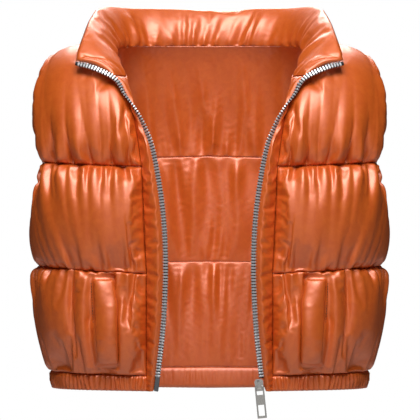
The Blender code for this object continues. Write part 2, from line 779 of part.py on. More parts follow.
def neckline(front_edge, front_normals):
    """Points and normals of half the neckline, from the band to the middle of the back."""
    count = len(NECK_SHARES)
    grid, normals = back_top()
    middle = FRONT_COLUMNS + 1
    start = middle - 1 - SHOULDER_COLUMNS
    points = np.concatenate((front_edge[count - 1::-1], grid[0, start + 1:middle]))
    ways = np.concatenate((front_normals[count - 1::-1], normals[0, start + 1:middle]))
    ways[0] = ways[1]
    return points, ways


def collar_half(band_top, neck, neck_ways):
    """Base grid of half the collar, from its front end to the middle of the back."""
    lifts = COLLAR_LIFT + (COLLAR_BACK_LIFT - COLLAR_LIFT) * np.linspace(0.0, 1.0, len(neck))
    lifted = neck + neck_ways * lifts[:, None]
    ends = band_top[:-1] + np.outer(COLLAR_END_LIFTS, (0.0, 0.0, 1.0))
    low = np.concatenate((ends, lifted))
    front_high = smooth_curve(COLLAR_TOP_FRONT, len(NECK_SHARES))
    back_high = smooth_curve(COLLAR_TOP_BACK, SHOULDER_COLUMNS + 1)
    teeth, ways = zip_rows(collar_zip_heights())
    zip_edge = teeth - ways * TAPE_BACK
    lead = np.linspace(zip_edge[0], front_high[0], len(band_top))
    high = np.concatenate((lead[:-1], front_high, back_high[1:]))
    half = high + (low - high) * COLLAR_SHARES[:, None, None]
    laid_open = np.linspace(1.0, COLLAR_BACK_BOW, half.shape[1])[None, :, None]
    bow = COLLAR_BOW * np.sin(np.pi * COLLAR_SHARES)[:, None, None] ** COLLAR_ROUNDNESS
    half = half - grid_normals(half[::-1])[::-1] * bow * laid_open
    half[:, 0] = zip_edge
    normals = grid_normals(half[::-1])[::-1]
    normals[:, 0] = tape_normals(teeth, ways)
    normals[:, -1, 0] = 0.0
    return half, unit(normals)


def build_collar(half, half_normals):
    """A padded stand collar, upright at the back, with its front ends laid open."""
    grid = both_halves(half)
    normals = mirror_normals(half_normals)
    bulge = np.sin(np.pi * COLLAR_SHARES)[:, None, None]
    outer = grid + normals * (COLLAR_EDGE + COLLAR_OUTSIDE * bulge)
    inner = grid - normals * (COLLAR_EDGE + COLLAR_INSIDE * bulge ** COLLAR_ROUNDNESS)
    wall("collar", outer, inner, satin("collar"))


def join_lapel(band_normals, collar_normals):
    """Turn the normals on both sides of the seam between lapel and collar the same way."""
    across = band_normals.shape[1] - 1
    shared = unit(band_normals[0] + collar_normals[-1, :across + 1])
    band_normals[0, :across] = shared[:across]
    collar_normals[-1, :across] = shared[:across]


# Pocket welts

def build_welts(bottom):
    """Puffed welts made from the points of the bottom tier, moved out."""
    outer, normals = bottom
    rows = slice(WELT_ROWS[0], WELT_ROWS[1] + 1)
    columns = slice(WELT_COLUMNS[0], WELT_COLUMNS[1] + 1)
    under = outer[rows, columns] + normals[rows, columns] * 2 * GAP
    way = normals[rows, columns]
    steps = np.linspace(0.0, 1.0, under.shape[1])
    fine = np.stack([sample(row, steps, WELT_SHARES) for row in under])
    fine_way = unit(np.stack([sample(row, steps, WELT_SHARES) for row in way]))
    across = np.sin(np.pi * WELT_SHARES) ** WELT_ROUNDNESS
    down = np.sin(np.pi * np.linspace(0.0, 1.0, len(fine))) ** WELT_END_ROUNDNESS
    height = WELT_EDGE + (WELT_HEIGHT - WELT_EDGE) * np.outer(down, across)
    top = fine + fine_way * height[..., None]
    for side, mirrored in (("left", False), ("right", True)):
        name = f"welt_{side}"
        wall(name, top, under, satin(name), mirrored)


# Zip hardware

def prism(name, outline, low, high, axis, material):
    """A solid drawn as an outline in two axes and stretched along the third."""
    points = []
    for depth in (low, high):
        for first, second in outline:
            point = [first, second]
            point.insert(axis, depth)
            points.append(point)
    count = len(outline)
    ring = [(side, (side + 1) % count) for side in range(count)]
    faces = [(start, end, end + count, start + count) for start, end in ring]
    faces += [tuple(reversed(range(count))), tuple(range(count, 2 * count))]
    item = add_object(name, points, faces, material)
    outward(item)
    return item


def outward(item):
    """Turn an object's faces to point out."""
    shape = bmesh.new()
    shape.from_mesh(item.data)
    bmesh.ops.recalc_face_normals(shape, faces=shape.faces)
    shape.to_mesh(item.data)
    shape.free()


def add_bevel(item, width):
    bevel = item.modifiers.new("edges", "BEVEL")
    bevel.width = width * MM
    bevel.segments = 1
    bevel.limit_method = "ANGLE"
    bevel.angle_limit = math.radians(40)


def join(item, helper):
    """Unite a helper solid with an object; the helper itself is left out of the model."""
    union = item.modifiers.new("union", "BOOLEAN")
    union.operation = "UNION"
    union.solver = "EXACT"
    union.object = helper
    helper.parent = item
    helper.hide_render = True
    helper.display_type = "WIRE"


def plate_outline():
    """Outline of the slider's plates: wide shoulders above, narrower below."""
    top, end = SLIDER_TOP_WIDTH / 2, SLIDER_END_WIDTH / 2
    high, low = SLIDER_HEIGHT / 2, -SLIDER_HEIGHT / 2
    right = ((SLIDER_CROWN * top, high), (top, high - SLIDER_SHOULDER[0]),
             (top, high - SLIDER_SHOULDER[1]), (end, high - SLIDER_WAIST),
             (end, low + SLIDER_FOOT[1]), (SLIDER_FOOT[0] * end, low))
    left = tuple((-across, up) for across, up in reversed(right))
    return right + left


def bail_outline():
    """Side outline of the bail that holds the pull, from the front plate outwards."""
    face = -SLIDER_DEPTH / 2
    out, room = face - BAIL_DEPTH, face - BAIL_ROOM
    top, roof, floor, end = BAIL_HEIGHTS
    root = face + SLIDER_PLATE / 2
    return ((root, top), (face - BAIL_BROW[0], top), (out, top - BAIL_BROW[1]),
            (out, end + BAIL_CHIN[1]), (out + BAIL_CHIN[0], end), (root, end), (root, floor),
            (room + BAIL_FLOOR_CORNER[0], floor), (room, floor + BAIL_FLOOR_CORNER[1]),
            (room, roof - BAIL_ROOF_CORNER[1]), (room + BAIL_ROOF_CORNER[0], roof), (root, roof))


def build_slider():
    """Two plates on a post, with a bail in front."""
    metal = nickel("slider")
    half = SLIDER_DEPTH / 2
    slider = prism("slider", plate_outline(), -half, -half + SLIDER_PLATE, 1, metal)
    wide, tall = SLIDER_POST[0] / 2, SLIDER_POST[1]
    top = SLIDER_HEIGHT / 2 - SLIDER_POST_DROP
    post = ((-wide, top - tall), (wide, top - tall), (wide, top), (-wide, top))
    inset = SLIDER_PLATE / 2
    helpers = (
        prism("slider_back", plate_outline(), half - SLIDER_PLATE, half, 1, metal),
        prism("slider_post", post, -half + inset, half - inset, 1, metal),
        prism("slider_bail", bail_outline(), -BAIL_WIDTH / 2, BAIL_WIDTH / 2, 0, metal),
    )
    for helper in helpers:
        join(slider, helper)
    slider.location = [value * MM for value in SLIDER_CENTRE]
    slider.rotation_euler = (0.0, -SLIDER_TILT, 0.0)


def pivot_point():
    """The pull's pivot: inside the bail, in front of the slider's face."""
    out = -SLIDER_DEPTH / 2 - BAIL_ROOM / 2
    x = SLIDER_CENTRE[0] + PIVOT_BELOW * math.sin(SLIDER_TILT)
    z = SLIDER_CENTRE[2] - PIVOT_BELOW * math.cos(SLIDER_TILT)
    return x, SLIDER_CENTRE[1] + out, z


def build_pull():
    """A flat pull with a slot round the bail and an open end, made of filled cells."""
    points, faces, kept = [], [], {}

    def corner(column, row, face):
        key = (column, row, face)
        if key not in kept:
            kept[key] = len(points)
            depth = PULL_THICKNESS / 2 * (1 if face else -1)
            points.append((PULL_SIDES[column], depth, PULL_STEPS[row]))
        return kept[key]

    open_cells = {(1, 1), (1, 3)}
    cells = {(column, row) for column in range(3) for row in range(5)} - open_cells
    for column, row in sorted(cells):
        loop = ((column, row), (column + 1, row), (column + 1, row + 1), (column, row + 1))
        for face in (0, 1):
            faces.append(tuple(corner(*spot, face) for spot in loop))
        sides = ((0, 1, column, row - 1), (1, 2, column + 1, row),
                 (2, 3, column, row + 1), (3, 0, column - 1, row))
        for start, end, next_column, next_row in sides:
            if (next_column, next_row) not in cells:
                faces.append((corner(*loop[start], 0), corner(*loop[end], 0),
                              corner(*loop[end], 1), corner(*loop[start], 1)))
    pull = add_object("pull_tab", points, faces, nickel("pull"))
    outward(pull)
    add_bevel(pull, METAL_BEVEL * 0.8)
    pull.location = [value * MM for value in pivot_point()]
    pull.rotation_euler = (0.0, -SLIDER_TILT, 0.0)


def build_pin():
    """The pin at the lower end of the left tape, in line with the teeth."""
    ends, ways = zip_rows(np.array((RINGS[-1][0], RINGS[-1][0] + PIN_LENGTH - 3 * GAP)))
    half = PIN_WIDTH / 2
    run = unit(ends[1] - ends[0])
    across = unit(ways[0] - run * np.dot(ways[0], run))
    depth = np.cross(run, across) * PIN_DEPTH / 2
    points = []
    for end in ends:
        for side, face in ((-1, -1), (1, -1), (1, 1), (-1, 1)):
            points.append(end + across * half * side + depth * face)
    faces = [(0, 1, 2, 3), (4, 5, 6, 7), (0, 1, 5, 4), (1, 2, 6, 5), (2, 3, 7, 6), (3, 0, 4, 7)]
    pin = add_object("pin", points, faces, nickel("pin"))
    outward(pin)
    add_bevel(pin, METAL_BEVEL)


def clear_scene():
    for item in list(bpy.data.objects):
        bpy.data.objects.remove(item)


clear_scene()
front_edges, front_edge_normals, bottom_tier = build_fronts()
build_back()
hem_edge, hem_edge_normals = build_hems()
band, band_normals, band_zip_heights = band_grid(
    front_edges, front_edge_normals, hem_edge, hem_edge_normals)
neck_points, neck_normals = neckline(front_edges[0], front_edge_normals[0])
collar, collar_normals = collar_half(band[0], neck_points, neck_normals)
join_lapel(band_normals, collar_normals)
build_band(band, band_normals)
build_collar(collar, collar_normals)
build_tapes(np.concatenate((collar_zip_heights()[:-1], band_zip_heights)))
build_welts(bottom_tier)
build_slider()
build_pull()
build_pin()
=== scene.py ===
"""A cropped puffer vest in copper satin, worn open and filled out, with no one in it.

Sizes are in millimetres, with the front towards -Y. Cloth is cut larger than its place, pinned
along its seams and blown up by its filling, which gives the gathers.
"""

import math

import bmesh
import bpy
import numpy as np
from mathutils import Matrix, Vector
from mathutils.bvhtree import BVHTree


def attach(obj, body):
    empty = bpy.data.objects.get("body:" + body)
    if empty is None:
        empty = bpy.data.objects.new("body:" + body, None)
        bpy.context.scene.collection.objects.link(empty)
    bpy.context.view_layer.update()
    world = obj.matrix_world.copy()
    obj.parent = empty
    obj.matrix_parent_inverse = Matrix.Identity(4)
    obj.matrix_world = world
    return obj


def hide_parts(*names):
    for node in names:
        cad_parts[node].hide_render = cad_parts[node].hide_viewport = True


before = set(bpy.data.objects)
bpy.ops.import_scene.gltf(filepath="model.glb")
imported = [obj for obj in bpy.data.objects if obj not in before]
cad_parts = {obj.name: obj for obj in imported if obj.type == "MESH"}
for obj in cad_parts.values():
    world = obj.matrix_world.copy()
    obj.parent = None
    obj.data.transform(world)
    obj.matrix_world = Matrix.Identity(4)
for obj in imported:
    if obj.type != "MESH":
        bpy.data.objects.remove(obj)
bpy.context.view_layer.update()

MM = 0.001

# Rings of stitching round the body, from the first seam down to the end of the hem
RING_COLUMNS = ("front_z", "side_z", "back_z", "join_x", "join_y", "half_width", "back_y")
RINGS = (
    (-174.0, -165.0, -157.0, 98.0, 137.0, 252.0, 125.0),
    (-329.0, -316.0, -312.5, 91.0, 138.0, 248.5, 125.0),
    (-477.0, -470.0, -468.0, 91.0, 124.0, 230.5, 112.0),
    (-499.3, -496.0, -499.3, 91.0, 121.0, 227.0, 108.0),
)
FRONT_ROUNDNESS = 2.6
BACK_ROUNDNESS = 3.0
MEAN_JOIN_X = 94.0
MEAN_HALF_WIDTH = 250.0
MEAN_FRONT_DEPTH = 137.0
MEAN_BACK_DEPTH = 125.0
ARM_HALF_DEPTH = 62.0
UNDERARM_SHARE = 0.53
ARM_SEAM_SHARE = 0.625
ARM_FLARE = 15.0
NECK_SHARE = 0.42
NECK_TURN = 62.0
SHOULDER_TURN = 90.0
SHOULDER_TIP = (-229.0, 12.0, -22.0)
SHOULDER_BOW = 7.5
NECK_SIDE = (-131.0, 30.0, 2.0)
FRONT_NECK = (
    NECK_SIDE,
    (-135.0, -18.0, -3.0),
    (-133.0, -62.0, -20.0),
    (-120.5, -98.0, -42.0),
)
BACK_NECK = (
    NECK_SIDE,
    (-117.0, 55.0, 4.0),
    (-92.0, 77.0, 5.0),
    (-50.0, 90.0, 5.5),
    (0.0, 93.0, 5.5),
)
COLLAR_TOP_FRONT = (
    (-193.5, -110.0, -8.0),
    (-186.0, -88.0, 14.0),
    (-177.0, -48.0, 39.0),
    (-167.0, 10.0, 58.0),
)
COLLAR_TOP_BACK = (
    (-167.0, 10.0, 58.0),
    (-150.0, 58.0, 62.5),
    (-118.0, 92.0, 61.0),
    (-62.0, 112.0, 61.0),
    (0.0, 117.0, 59.5),
)
# Zip line, from the collar's corner down to the foot: x, y and z of the middle of the teeth,
# then x, y and z of the way that the tape's edge points there
ZIP = (
    (-197.0, -112.0, -22.0, -0.15, -0.40, -0.90),
    (-167.5, -124.0, -30.5, -0.25, -0.40, -0.87),
    (-137.0, -133.0, -46.0, -0.45, -0.55, -0.70),
    (-123.0, -138.0, -68.0, -0.20, -0.93, -0.30),
    (-109.5, -142.0, -87.0, 0.30, -0.95, -0.08),
    (-94.0, -147.0, -116.0, 0.65, -0.76, 0.0),
    (-80.5, -151.0, -155.0, 0.85, -0.53, 0.0),
    (-67.5, -153.0, -236.0, 0.92, -0.40, 0.0),
    (-63.4, -152.0, -316.0, 0.93, -0.37, 0.0),
    (-66.5, -149.0, -400.0, 0.93, -0.37, 0.0),
    (-74.0, -137.0, -470.0, 0.93, -0.37, 0.0),
    (-77.6, -131.0, -499.3, 0.93, -0.37, 0.0),
)
ZIP_TOP_Z = -22.5
ZIP_NECK_Z = -44.0
LAPEL_END_Z = -125.0
# A hair's gap between pieces sewn together
GAP = 0.02


# Curves and grids

CURVE_STEPS = 24
TABLE_STEPS = 400


def ramp(value, start, reach):
    """From 0 at the start to 1 where the reach ends."""
    return np.clip((value - start) / reach, 0.0, 1.0)


def evenly(steps):
    """Even shares from 0 to 1 in so many steps."""
    return np.linspace(0.0, 1.0, steps + 1)


def step_lengths(points, axis):
    """Distance from each point to the next one along the axis."""
    return np.linalg.norm(np.diff(points, axis=axis), axis=-1)


def run_length(points):
    """Distance travelled along the points, in space."""
    return np.concatenate(((0.0,), np.cumsum(step_lengths(points[:, :3], 0))))


def sample(points, keys, wanted):
    """Rows of points read at the wanted values of their rising keys."""
    return np.stack([np.interp(wanted, keys, column) for column in points.T], axis=-1)


def smooth_curve(points, count):
    """Even steps along a smooth curve through the given points."""
    points = np.asarray(points, float)
    ends = np.vstack((2 * points[0] - points[1], points, 2 * points[-1] - points[-2]))
    dense = []
    for start in range(len(points) - 1):
        before, first, second, after = ends[start:start + 4]
        for step in np.linspace(0.0, 1.0, CURVE_STEPS, endpoint=False):
            dense.append(0.5 * (2 * first + (second - before) * step
                                + (2 * before - 5 * first + 4 * second - after) * step ** 2
                                + (3 * first - before - 3 * second + after) * step ** 3))
    dense.append(points[-1])
    dense = np.array(dense)
    length = run_length(dense)
    return sample(dense, length, np.linspace(0.0, length[-1], count))


def unit(vectors):
    vectors = np.asarray(vectors, float)
    return vectors / np.maximum(np.linalg.norm(vectors, axis=-1, keepdims=True), 1e-9)


def share_down(grid):
    """Share of the way down a grid, a row for each of its rows."""
    return evenly(len(grid) - 1)[:, None]


def grid_normals(grid):
    """Outward normals of a grid with rows from the top and columns from the front."""
    rising = grid[::-1]
    return unit(np.cross(np.gradient(rising, axis=0), np.gradient(rising, axis=1)))[::-1]


def turn_table(join, depth, width, roundness):
    """Angle for each even share of the way round a quarter of a body ring."""
    angles = np.linspace(0.0, math.pi / 2, TABLE_STEPS)
    power = 2.0 / roundness
    ring = np.stack((join + (width - join) * np.sin(angles) ** power,
                     depth * np.cos(angles) ** power), axis=-1)
    length = run_length(ring)
    return length / length[-1], angles


FRONT_TURN = turn_table(MEAN_JOIN_X, MEAN_FRONT_DEPTH, MEAN_HALF_WIDTH, FRONT_ROUNDNESS)
BACK_TURN = turn_table(0.0, MEAN_BACK_DEPTH, MEAN_HALF_WIDTH, BACK_ROUNDNESS)


def ring_values(level):
    """The ring table read at a level between 0 (first seam) and 3 (end of the hem)."""
    rings = np.array(RINGS)
    values = sample(rings, np.arange(len(rings)), level)
    return dict(zip(RING_COLUMNS, np.moveaxis(values, -1, 0)))


def front_point(share, level):
    """A stitch-line point from the band (share 0) to the side seam (share 1)."""
    share, level = np.broadcast_arrays(share, level)
    ring = ring_values(level)
    angle = np.interp(share, *FRONT_TURN)
    power = 2.0 / FRONT_ROUNDNESS
    x = -(ring["join_x"] + (ring["half_width"] - ring["join_x"]) * np.sin(angle) ** power)
    y = -ring["join_y"] * np.abs(np.cos(angle)) ** power
    z = ring["front_z"] + (ring["side_z"] - ring["front_z"]) * share
    return np.stack((x, y, z), axis=-1)


def back_point(share, level):
    """A stitch-line point from the side seam (share 0) to the back's middle (share 1)."""
    share, level = np.broadcast_arrays(share, level)
    ring = ring_values(level)
    angle = np.interp(1.0 - share, *BACK_TURN)
    power = 2.0 / BACK_ROUNDNESS
    x = -ring["half_width"] * np.sin(angle) ** power
    y = ring["back_y"] * np.abs(np.cos(angle)) ** power
    z = ring["side_z"] + (ring["back_z"] - ring["side_z"]) * share
    return np.stack((x, y, z), axis=-1)


def share_at_depth(point, depth):
    """Share of the way round the first seam where the armhole crosses it."""
    shares = np.linspace(0.0, 1.0, TABLE_STEPS)
    depths = point(shares, 0.0)[:, 1]
    return float(np.interp(-depth if depths[0] < 0 else depth, depths, shares))


FRONT_ARM = share_at_depth(front_point, ARM_HALF_DEPTH)
BACK_ARM = share_at_depth(back_point, ARM_HALF_DEPTH)


# The body's tiers, as grids of points on the surface that holds the seams, top row first

def lower_tier(point, top_level, columns, rows, arm_share=None):
    """One side of a tier below the first seam, whose top the armhole may cut into."""
    even = evenly(columns)
    top_shares = even
    top_levels = np.full(columns + 1, float(top_level))
    if arm_share is not None:
        seam_columns = round(columns * ARM_SEAM_SHARE)
        seam = np.linspace(0.0, arm_share, seam_columns + 1)
        curve = np.linspace(0.0, math.pi / 2, columns - seam_columns + 1)[1:]
        top_shares = np.concatenate((seam, 1.0 - (1.0 - arm_share) * np.cos(curve)))
        top_levels = np.concatenate((np.zeros(len(seam)), UNDERARM_SHARE * np.sin(curve)))
    down = evenly(rows)[:, None]
    shares = top_shares + (even - top_shares) * down
    levels = top_levels + (top_level + 1 - top_levels) * down
    return point(shares, levels)


def rising_column(foot, head, shares, turn):
    """A column that leaves its foot upwards and turns over the shoulder to its head."""
    angle = math.radians(turn)
    back = (1.0 - np.cos(angle * shares)) / (1.0 - math.cos(angle))
    rise = np.sin(angle * shares) / math.sin(angle)
    return foot + (head - foot) * np.stack((shares, back, rise), axis=-1)


def flared(column, shares, out):
    """A column moved out towards the armhole, most at mid height."""
    flare = ARM_FLARE * np.sin(np.pi * shares ** 1.4) * out ** 3
    return column - np.outer(flare, (1.0, 0.0, 0.0))


def shoulder_seam(columns):
    """The shoulder seam, which bows upwards between neck and armhole."""
    points = np.linspace(NECK_SIDE, SHOULDER_TIP, columns + 1)
    points[:, 2] += SHOULDER_BOW * np.sin(np.pi * evenly(columns))
    return points


def front_top(columns, rows):
    """Top front tier: neckline and band edge inside, shoulder seam above."""
    neck_rows = round(rows * NECK_SHARE)
    shares = np.concatenate((np.linspace(0.0, NECK_SHARE, neck_rows + 1),
                             np.linspace(NECK_SHARE, 1.0, rows - neck_rows + 1)[1:]))
    across = evenly(columns)
    feet = front_point(FRONT_ARM * across, 0.0)
    lines = [rising_column(foot, head, 1.0 - shares, SHOULDER_TURN)
             for foot, head in zip(feet, shoulder_seam(columns))]
    panel = (1.0 - shares[neck_rows:]) / (1.0 - NECK_SHARE)
    panel_edge = rising_column(feet[0], np.array(FRONT_NECK[-1]), panel, NECK_TURN)
    pull = np.concatenate((smooth_curve(FRONT_NECK, neck_rows + 1), panel_edge[1:])) - lines[0]
    grid = np.stack([flared(line + pull * (1.0 - out) ** 2, shares, out)
                     for line, out in zip(lines, across)], axis=1)
    return grid, neck_rows


def back_top(columns, rows):
    """Left half of the top back tier, from the middle outwards."""
    shares = evenly(rows)
    half = columns // 2
    feet = back_point(np.linspace(1.0, BACK_ARM, columns + 1), 0.0)
    heads = np.concatenate((smooth_curve(BACK_NECK[::-1], half + 1),
                            shoulder_seam(columns - half)[1:]))
    lines = []
    for number in range(columns + 1):
        turn = NECK_TURN + (SHOULDER_TURN - NECK_TURN) * min(1.0, number / half) ** 2
        line = rising_column(feet[number], heads[number], 1.0 - shares, turn)
        lines.append(flared(line, shares, number / columns))
    return np.stack(lines, axis=1)


def both_halves(half):
    """A grid over the back, from a left half that ends at the middle."""
    return np.concatenate((half, half[:, -2::-1] * (-1.0, 1.0, 1.0)), axis=1)


# Cloth that is cut larger than its place, pinned along its seams and blown up

# Each pleat is a broad ridge between two sharp valleys. Fine pleats start at the seam and fade
# first, and broad ones start further in, which is how gathers merge. For each size: how close,
# how high, how far they reach, and how late they start.
PLEAT_SIZES = (
    (1.0, 1.1, 0.9, 0.0),
    (0.43, 1.0, 1.5, 0.4),
    (0.19, 0.4, 2.6, 1.0),
)
# Least and most: widths and leans in pitches, heights and lengths as shares
PLEAT_WIDTHS = (0.35, 1.9)
PLEAT_LEANS = (-0.5, 0.5)
PLEAT_LEAN_POINTS = 7
PLEAT_HEIGHTS = (0.05, 1.4)
PLEAT_LENGTHS = (0.45, 1.7)
PLEAT_START = 2.5
SIDE_FADE = 12


def pleats(grid, seed, top=1.0, end=1.0, pitch=15.0, height=5.2, reach=46.0):
    """Pleats that start at both seams and merge into fewer, softer ones."""
    rows, columns = grid.shape[:2]
    random = np.random.default_rng(seed)
    width = step_lengths(grid, 1).sum(axis=1).mean()
    drop = step_lengths(grid, 0).sum(axis=0)
    down = share_down(grid) * drop
    u = evenly(columns - 1)
    total = np.zeros((rows, columns))
    for strength, away in ((top, down), (end, drop - down)):
        warp = uneven_steps(random, PLEAT_WIDTHS, columns, width, pitch)
        for close, high, far, late in PLEAT_SIZES:
            lean = uneven_line(random, u, PLEAT_LEAN_POINTS, PLEAT_LEANS) * away / reach
            phase = 2 * np.pi * (warp * close + lean * close + random.uniform())
            count = max(4, int(width / pitch * close * 0.8))
            uneven = uneven_line(random, u, count, PLEAT_HEIGHTS)
            length = far * reach * uneven_line(random, u, count, PLEAT_LENGTHS)
            fade = np.exp(-(away / length) ** 1.6)
            fade = fade * ramp(away, 0.0, late * reach + PLEAT_START) ** 0.6
            valley = 2.0 * np.abs(np.sin(phase / 2)) ** 0.75 - 1.0
            total += strength * height * high * uneven * fade * (
                0.75 * (valley - 0.3) - 0.25 * np.cos(phase))
    return total * np.minimum(1.0, SIDE_FADE * u) * np.minimum(1.0, SIDE_FADE * (1 - u))


def uneven_line(random, along, count, limits):
    """Random values at even places, read along the line between them."""
    values = random.uniform(*limits, count)
    return np.interp(along, evenly(count - 1), values)


def uneven_steps(random, widths, count, length, pitch):
    """Random widths added up, in pitches, to the whole length."""
    steps = np.cumsum(random.uniform(*widths, count))
    return steps / steps[-1] * length / pitch


def new_object(name, data):
    piece = bpy.data.objects.new(name, data)
    bpy.context.scene.collection.objects.link(piece)
    return piece


def grid_faces(ids, turned):
    """Four-sided faces over a grid of point numbers."""
    faces = np.stack((ids[:-1, :-1], ids[:-1, 1:], ids[1:, 1:], ids[1:, :-1]), axis=-1)
    faces = faces.reshape(-1, 4)
    return faces[:, ::-1] if turned else faces


def keep_edges_sharp(mesh, ids):
    """Crease the sewn edges, so that rounding leaves them in place."""
    sewn_points = set(ids[0]) | set(ids[-1]) | set(ids[:, 0]) | set(ids[:, -1])
    crease = mesh.attributes.new("crease_edge", "FLOAT", "EDGE")
    for edge in mesh.edges:
        if sewn_points.issuperset(edge.vertices):
            crease.data[edge.index].value = 1.0


def closed_piece(name, grid, normals, outside, inside):
    """A closed mesh of two sheets, outside and inside a grid, that share their edges."""
    outer = grid + normals * np.asarray(outside)[..., None]
    inner = grid - normals * np.asarray(inside)[..., None]
    rows, columns = grid.shape[:2]
    outer_ids = np.arange(rows * columns).reshape(rows, columns)
    inner_ids = outer_ids.copy()
    middle = inner[1:-1, 1:-1].reshape(-1, 3)
    inner_ids[1:-1, 1:-1] = rows * columns + np.arange(len(middle)).reshape(
        rows - 2, columns - 2)
    faces = np.concatenate((grid_faces(outer_ids, False), grid_faces(inner_ids, True)))
    mesh = bpy.data.meshes.new(name)
    mesh.from_pydata(np.concatenate((outer.reshape(-1, 3), middle)) * MM, [], faces.tolist())
    mesh.shade_smooth()
    keep_edges_sharp(mesh, outer_ids)
    return new_object(name, mesh)


def mesh_points(mesh):
    points = np.empty(len(mesh.vertices) * 3)
    mesh.vertices.foreach_get("co", points)
    return points.reshape(-1, 3) / MM


def set_points(piece, points):
    piece.data.vertices.foreach_set("co", (points * MM).ravel())
    piece.data.update()


# Light, springy polyester that stretches little
CLOTH = {
    "quality": 5,
    "mass": 0.1,
    "tension_stiffness": 12,
    "compression_stiffness": 12,
    "shear_stiffness": 4,
    "bending_model": "ANGULAR",
    "bending_stiffness": 0.2,
    "tension_damping": 5,
    "compression_damping": 5,
    "shear_damping": 2.5,
    "bending_damping": 0.5,
    "air_damping": 1,
    "pin_stiffness": 1.0,
}
LINING_EXCESS = 0.3


def blow_up(piece, shape, excess, pressure, inside_hold=0.0, frames=30):
    """Let cloth that is cut too large fill out, with its edges pinned."""
    rows, columns = shape
    edge = np.ones((rows, columns), bool)
    edge[1:-1, 1:-1] = False
    pins = piece.vertex_groups.new(name="seams")
    pins.add(np.flatnonzero(edge.ravel()).tolist(), 1.0, "REPLACE")
    if inside_hold > 0:
        inside = list(range(rows * columns, len(piece.data.vertices)))
        pins.add(inside, inside_hold, "REPLACE")
    taut = piece.vertex_groups.new(name="taut")
    excess = np.broadcast_to(excess, shape)
    most = float(excess.max())
    lining = LINING_EXCESS * excess[1:-1, 1:-1].ravel()
    weights = 1.0 - np.concatenate((excess.ravel(), lining)) / most
    for number, weight in enumerate(weights):
        taut.add((number,), float(weight), "REPLACE")
    cloth = piece.modifiers.new("filling", "CLOTH")
    settings = cloth.settings
    for name, value in CLOTH.items():
        setattr(settings, name, value)
    settings.vertex_group_mass = pins.name
    settings.vertex_group_shrink = taut.name
    settings.shrink_min = -most
    settings.shrink_max = 0.0
    settings.use_pressure = True
    settings.uniform_pressure_force = pressure
    settings.effector_weights.gravity = 0.0
    cloth.collision_settings.use_collision = False
    cloth.point_cache.frame_end = frames
    scene = bpy.context.scene
    for number in range(1, frames + 1):
        scene.frame_set(number)
    points = mesh_points(piece.evaluated_get(bpy.context.evaluated_depsgraph_get()).data)
    piece.modifiers.remove(cloth)
    piece.vertex_groups.clear()
    set_points(piece, points)
    scene.frame_set(1)


PRESSED_BACK = 0.75


def hold_back(piece, grid, normals, limit, inner_limit):
    """Press back most of what stands past the limit of either sheet."""
    rows, columns = grid.shape[:2]
    points = mesh_points(piece.data)
    limit = np.broadcast_to(limit, (rows, columns))
    inner_limit = np.broadcast_to(inner_limit, (rows, columns))
    middle = (slice(1, -1), slice(1, -1))
    for ids, base, ways, most in (
            (slice(0, rows * columns), grid, normals, limit),
            (slice(rows * columns, None), grid[middle], -normals[middle], inner_limit[middle])):
        base = base.reshape(-1, 3)
        ways = ways.reshape(-1, 3)
        height = np.sum((points[ids] - base) * ways, axis=1)
        over = np.maximum(height - most.ravel(), 0.0)
        points[ids] -= ways * (over * PRESSED_BACK)[:, None]
    return points


def mirror(piece):
    """Move a piece to the other side of the body."""
    set_points(piece, mesh_points(piece.data) * (-1.0, 1.0, 1.0))
    piece.data.flip_normals()


def mirrored_twin(left):
    """The same piece on the right side of the body."""
    name = left.name.replace("left", "right")
    mesh = left.data.copy()
    mesh.name = name
    twin = new_object(name, mesh)
    mirror(twin)
    return twin


# How far each tier stands out of its seam surface

ROWS = 44
FRONT_COLUMNS = 84
BACK_COLUMNS = 120
FRONT_PUFF = 22.0
BACK_PUFF = 24.0
SIDE_PUFF = {"top": 12.5, "middle": 6.5, "bottom": 9.5}
SEAM_ROLL = 22.0
SIDE_ROLL = 15.0
FRONT_EXCESS = 0.075
BACK_EXCESS = 0.06
SIDE_SLACK = 0.5
FRONT_INSIDE = 4.0
BACK_INSIDE = 3.0
# How firmly the inner sheet is held while the outer one fills
FRONT_HOLD = 0.2
BACK_HOLD = 0.6
BAND_HOLD = 0.05
TIER_PRESSURE = 4.0
FRONT_PLEATS = {
    "top": {"seed": 5, "top": 0.08, "pitch": 24.0, "reach": 78.0},
    "middle": {"seed": 3, "end": 0.3},
    "bottom": {"seed": 8, "end": 0.12, "reach": 30.0},
}
BACK_PLEATS = {
    "top": {"seed": 21, "top": 0.05, "pitch": 22.0, "reach": 36.0},
    "middle": {"seed": 22, "end": 0.6, "pitch": 22.0},
    "bottom": {"seed": 24, "end": 0.2, "pitch": 20.0},
}

# How collar and lapel press down the tiers beside them
PRESSED_BESIDE = 48.0
PRESSED_BELOW = 0.45
PRESSED_LEAST = 0.4
NECK_HALF = 0.5
NECK_EASE = 0.2
NECK_DROP = 0.65

# Folds grow with the puff, up to this much of it, and lie flatter round the armhole
FOLDS_FROM_PUFF = 5.0
LINING_FROM_PUFF = 6.0
ARMHOLE_RAMP = (3.0, 14.0)
ARMHOLE_CALM = 0.85
SEEDED_PUFF = 0.97
SEEDED_LINING_FOLDS = 0.6
PRESSED_LINING_FOLDS = 1.3
ROOM_OUTSIDE = 3.0
ROOM_INSIDE = 1.6
ROOM_ABOVE_SHOULDER = 10.0
ROOM_ABOVE_ARMHOLE = 8.0

# Pocket welt, as x and z down each side, and the groove that it lies in
WELT_LEFT = ((-169.0, -337.0), (-166.0, -400.0), (-162.0, -459.5))
WELT_RIGHT = ((-139.0, -337.0), (-132.5, -372.0), (-132.5, -459.5))
WELT_TOP = WELT_LEFT[0][1]
WELT_FOOT = WELT_LEFT[-1][1]
WELT_GROOVE = 6.5
WELT_GROOVE_WIDTH = 4.0
WELT_RAMP = (3.0, 12.0)


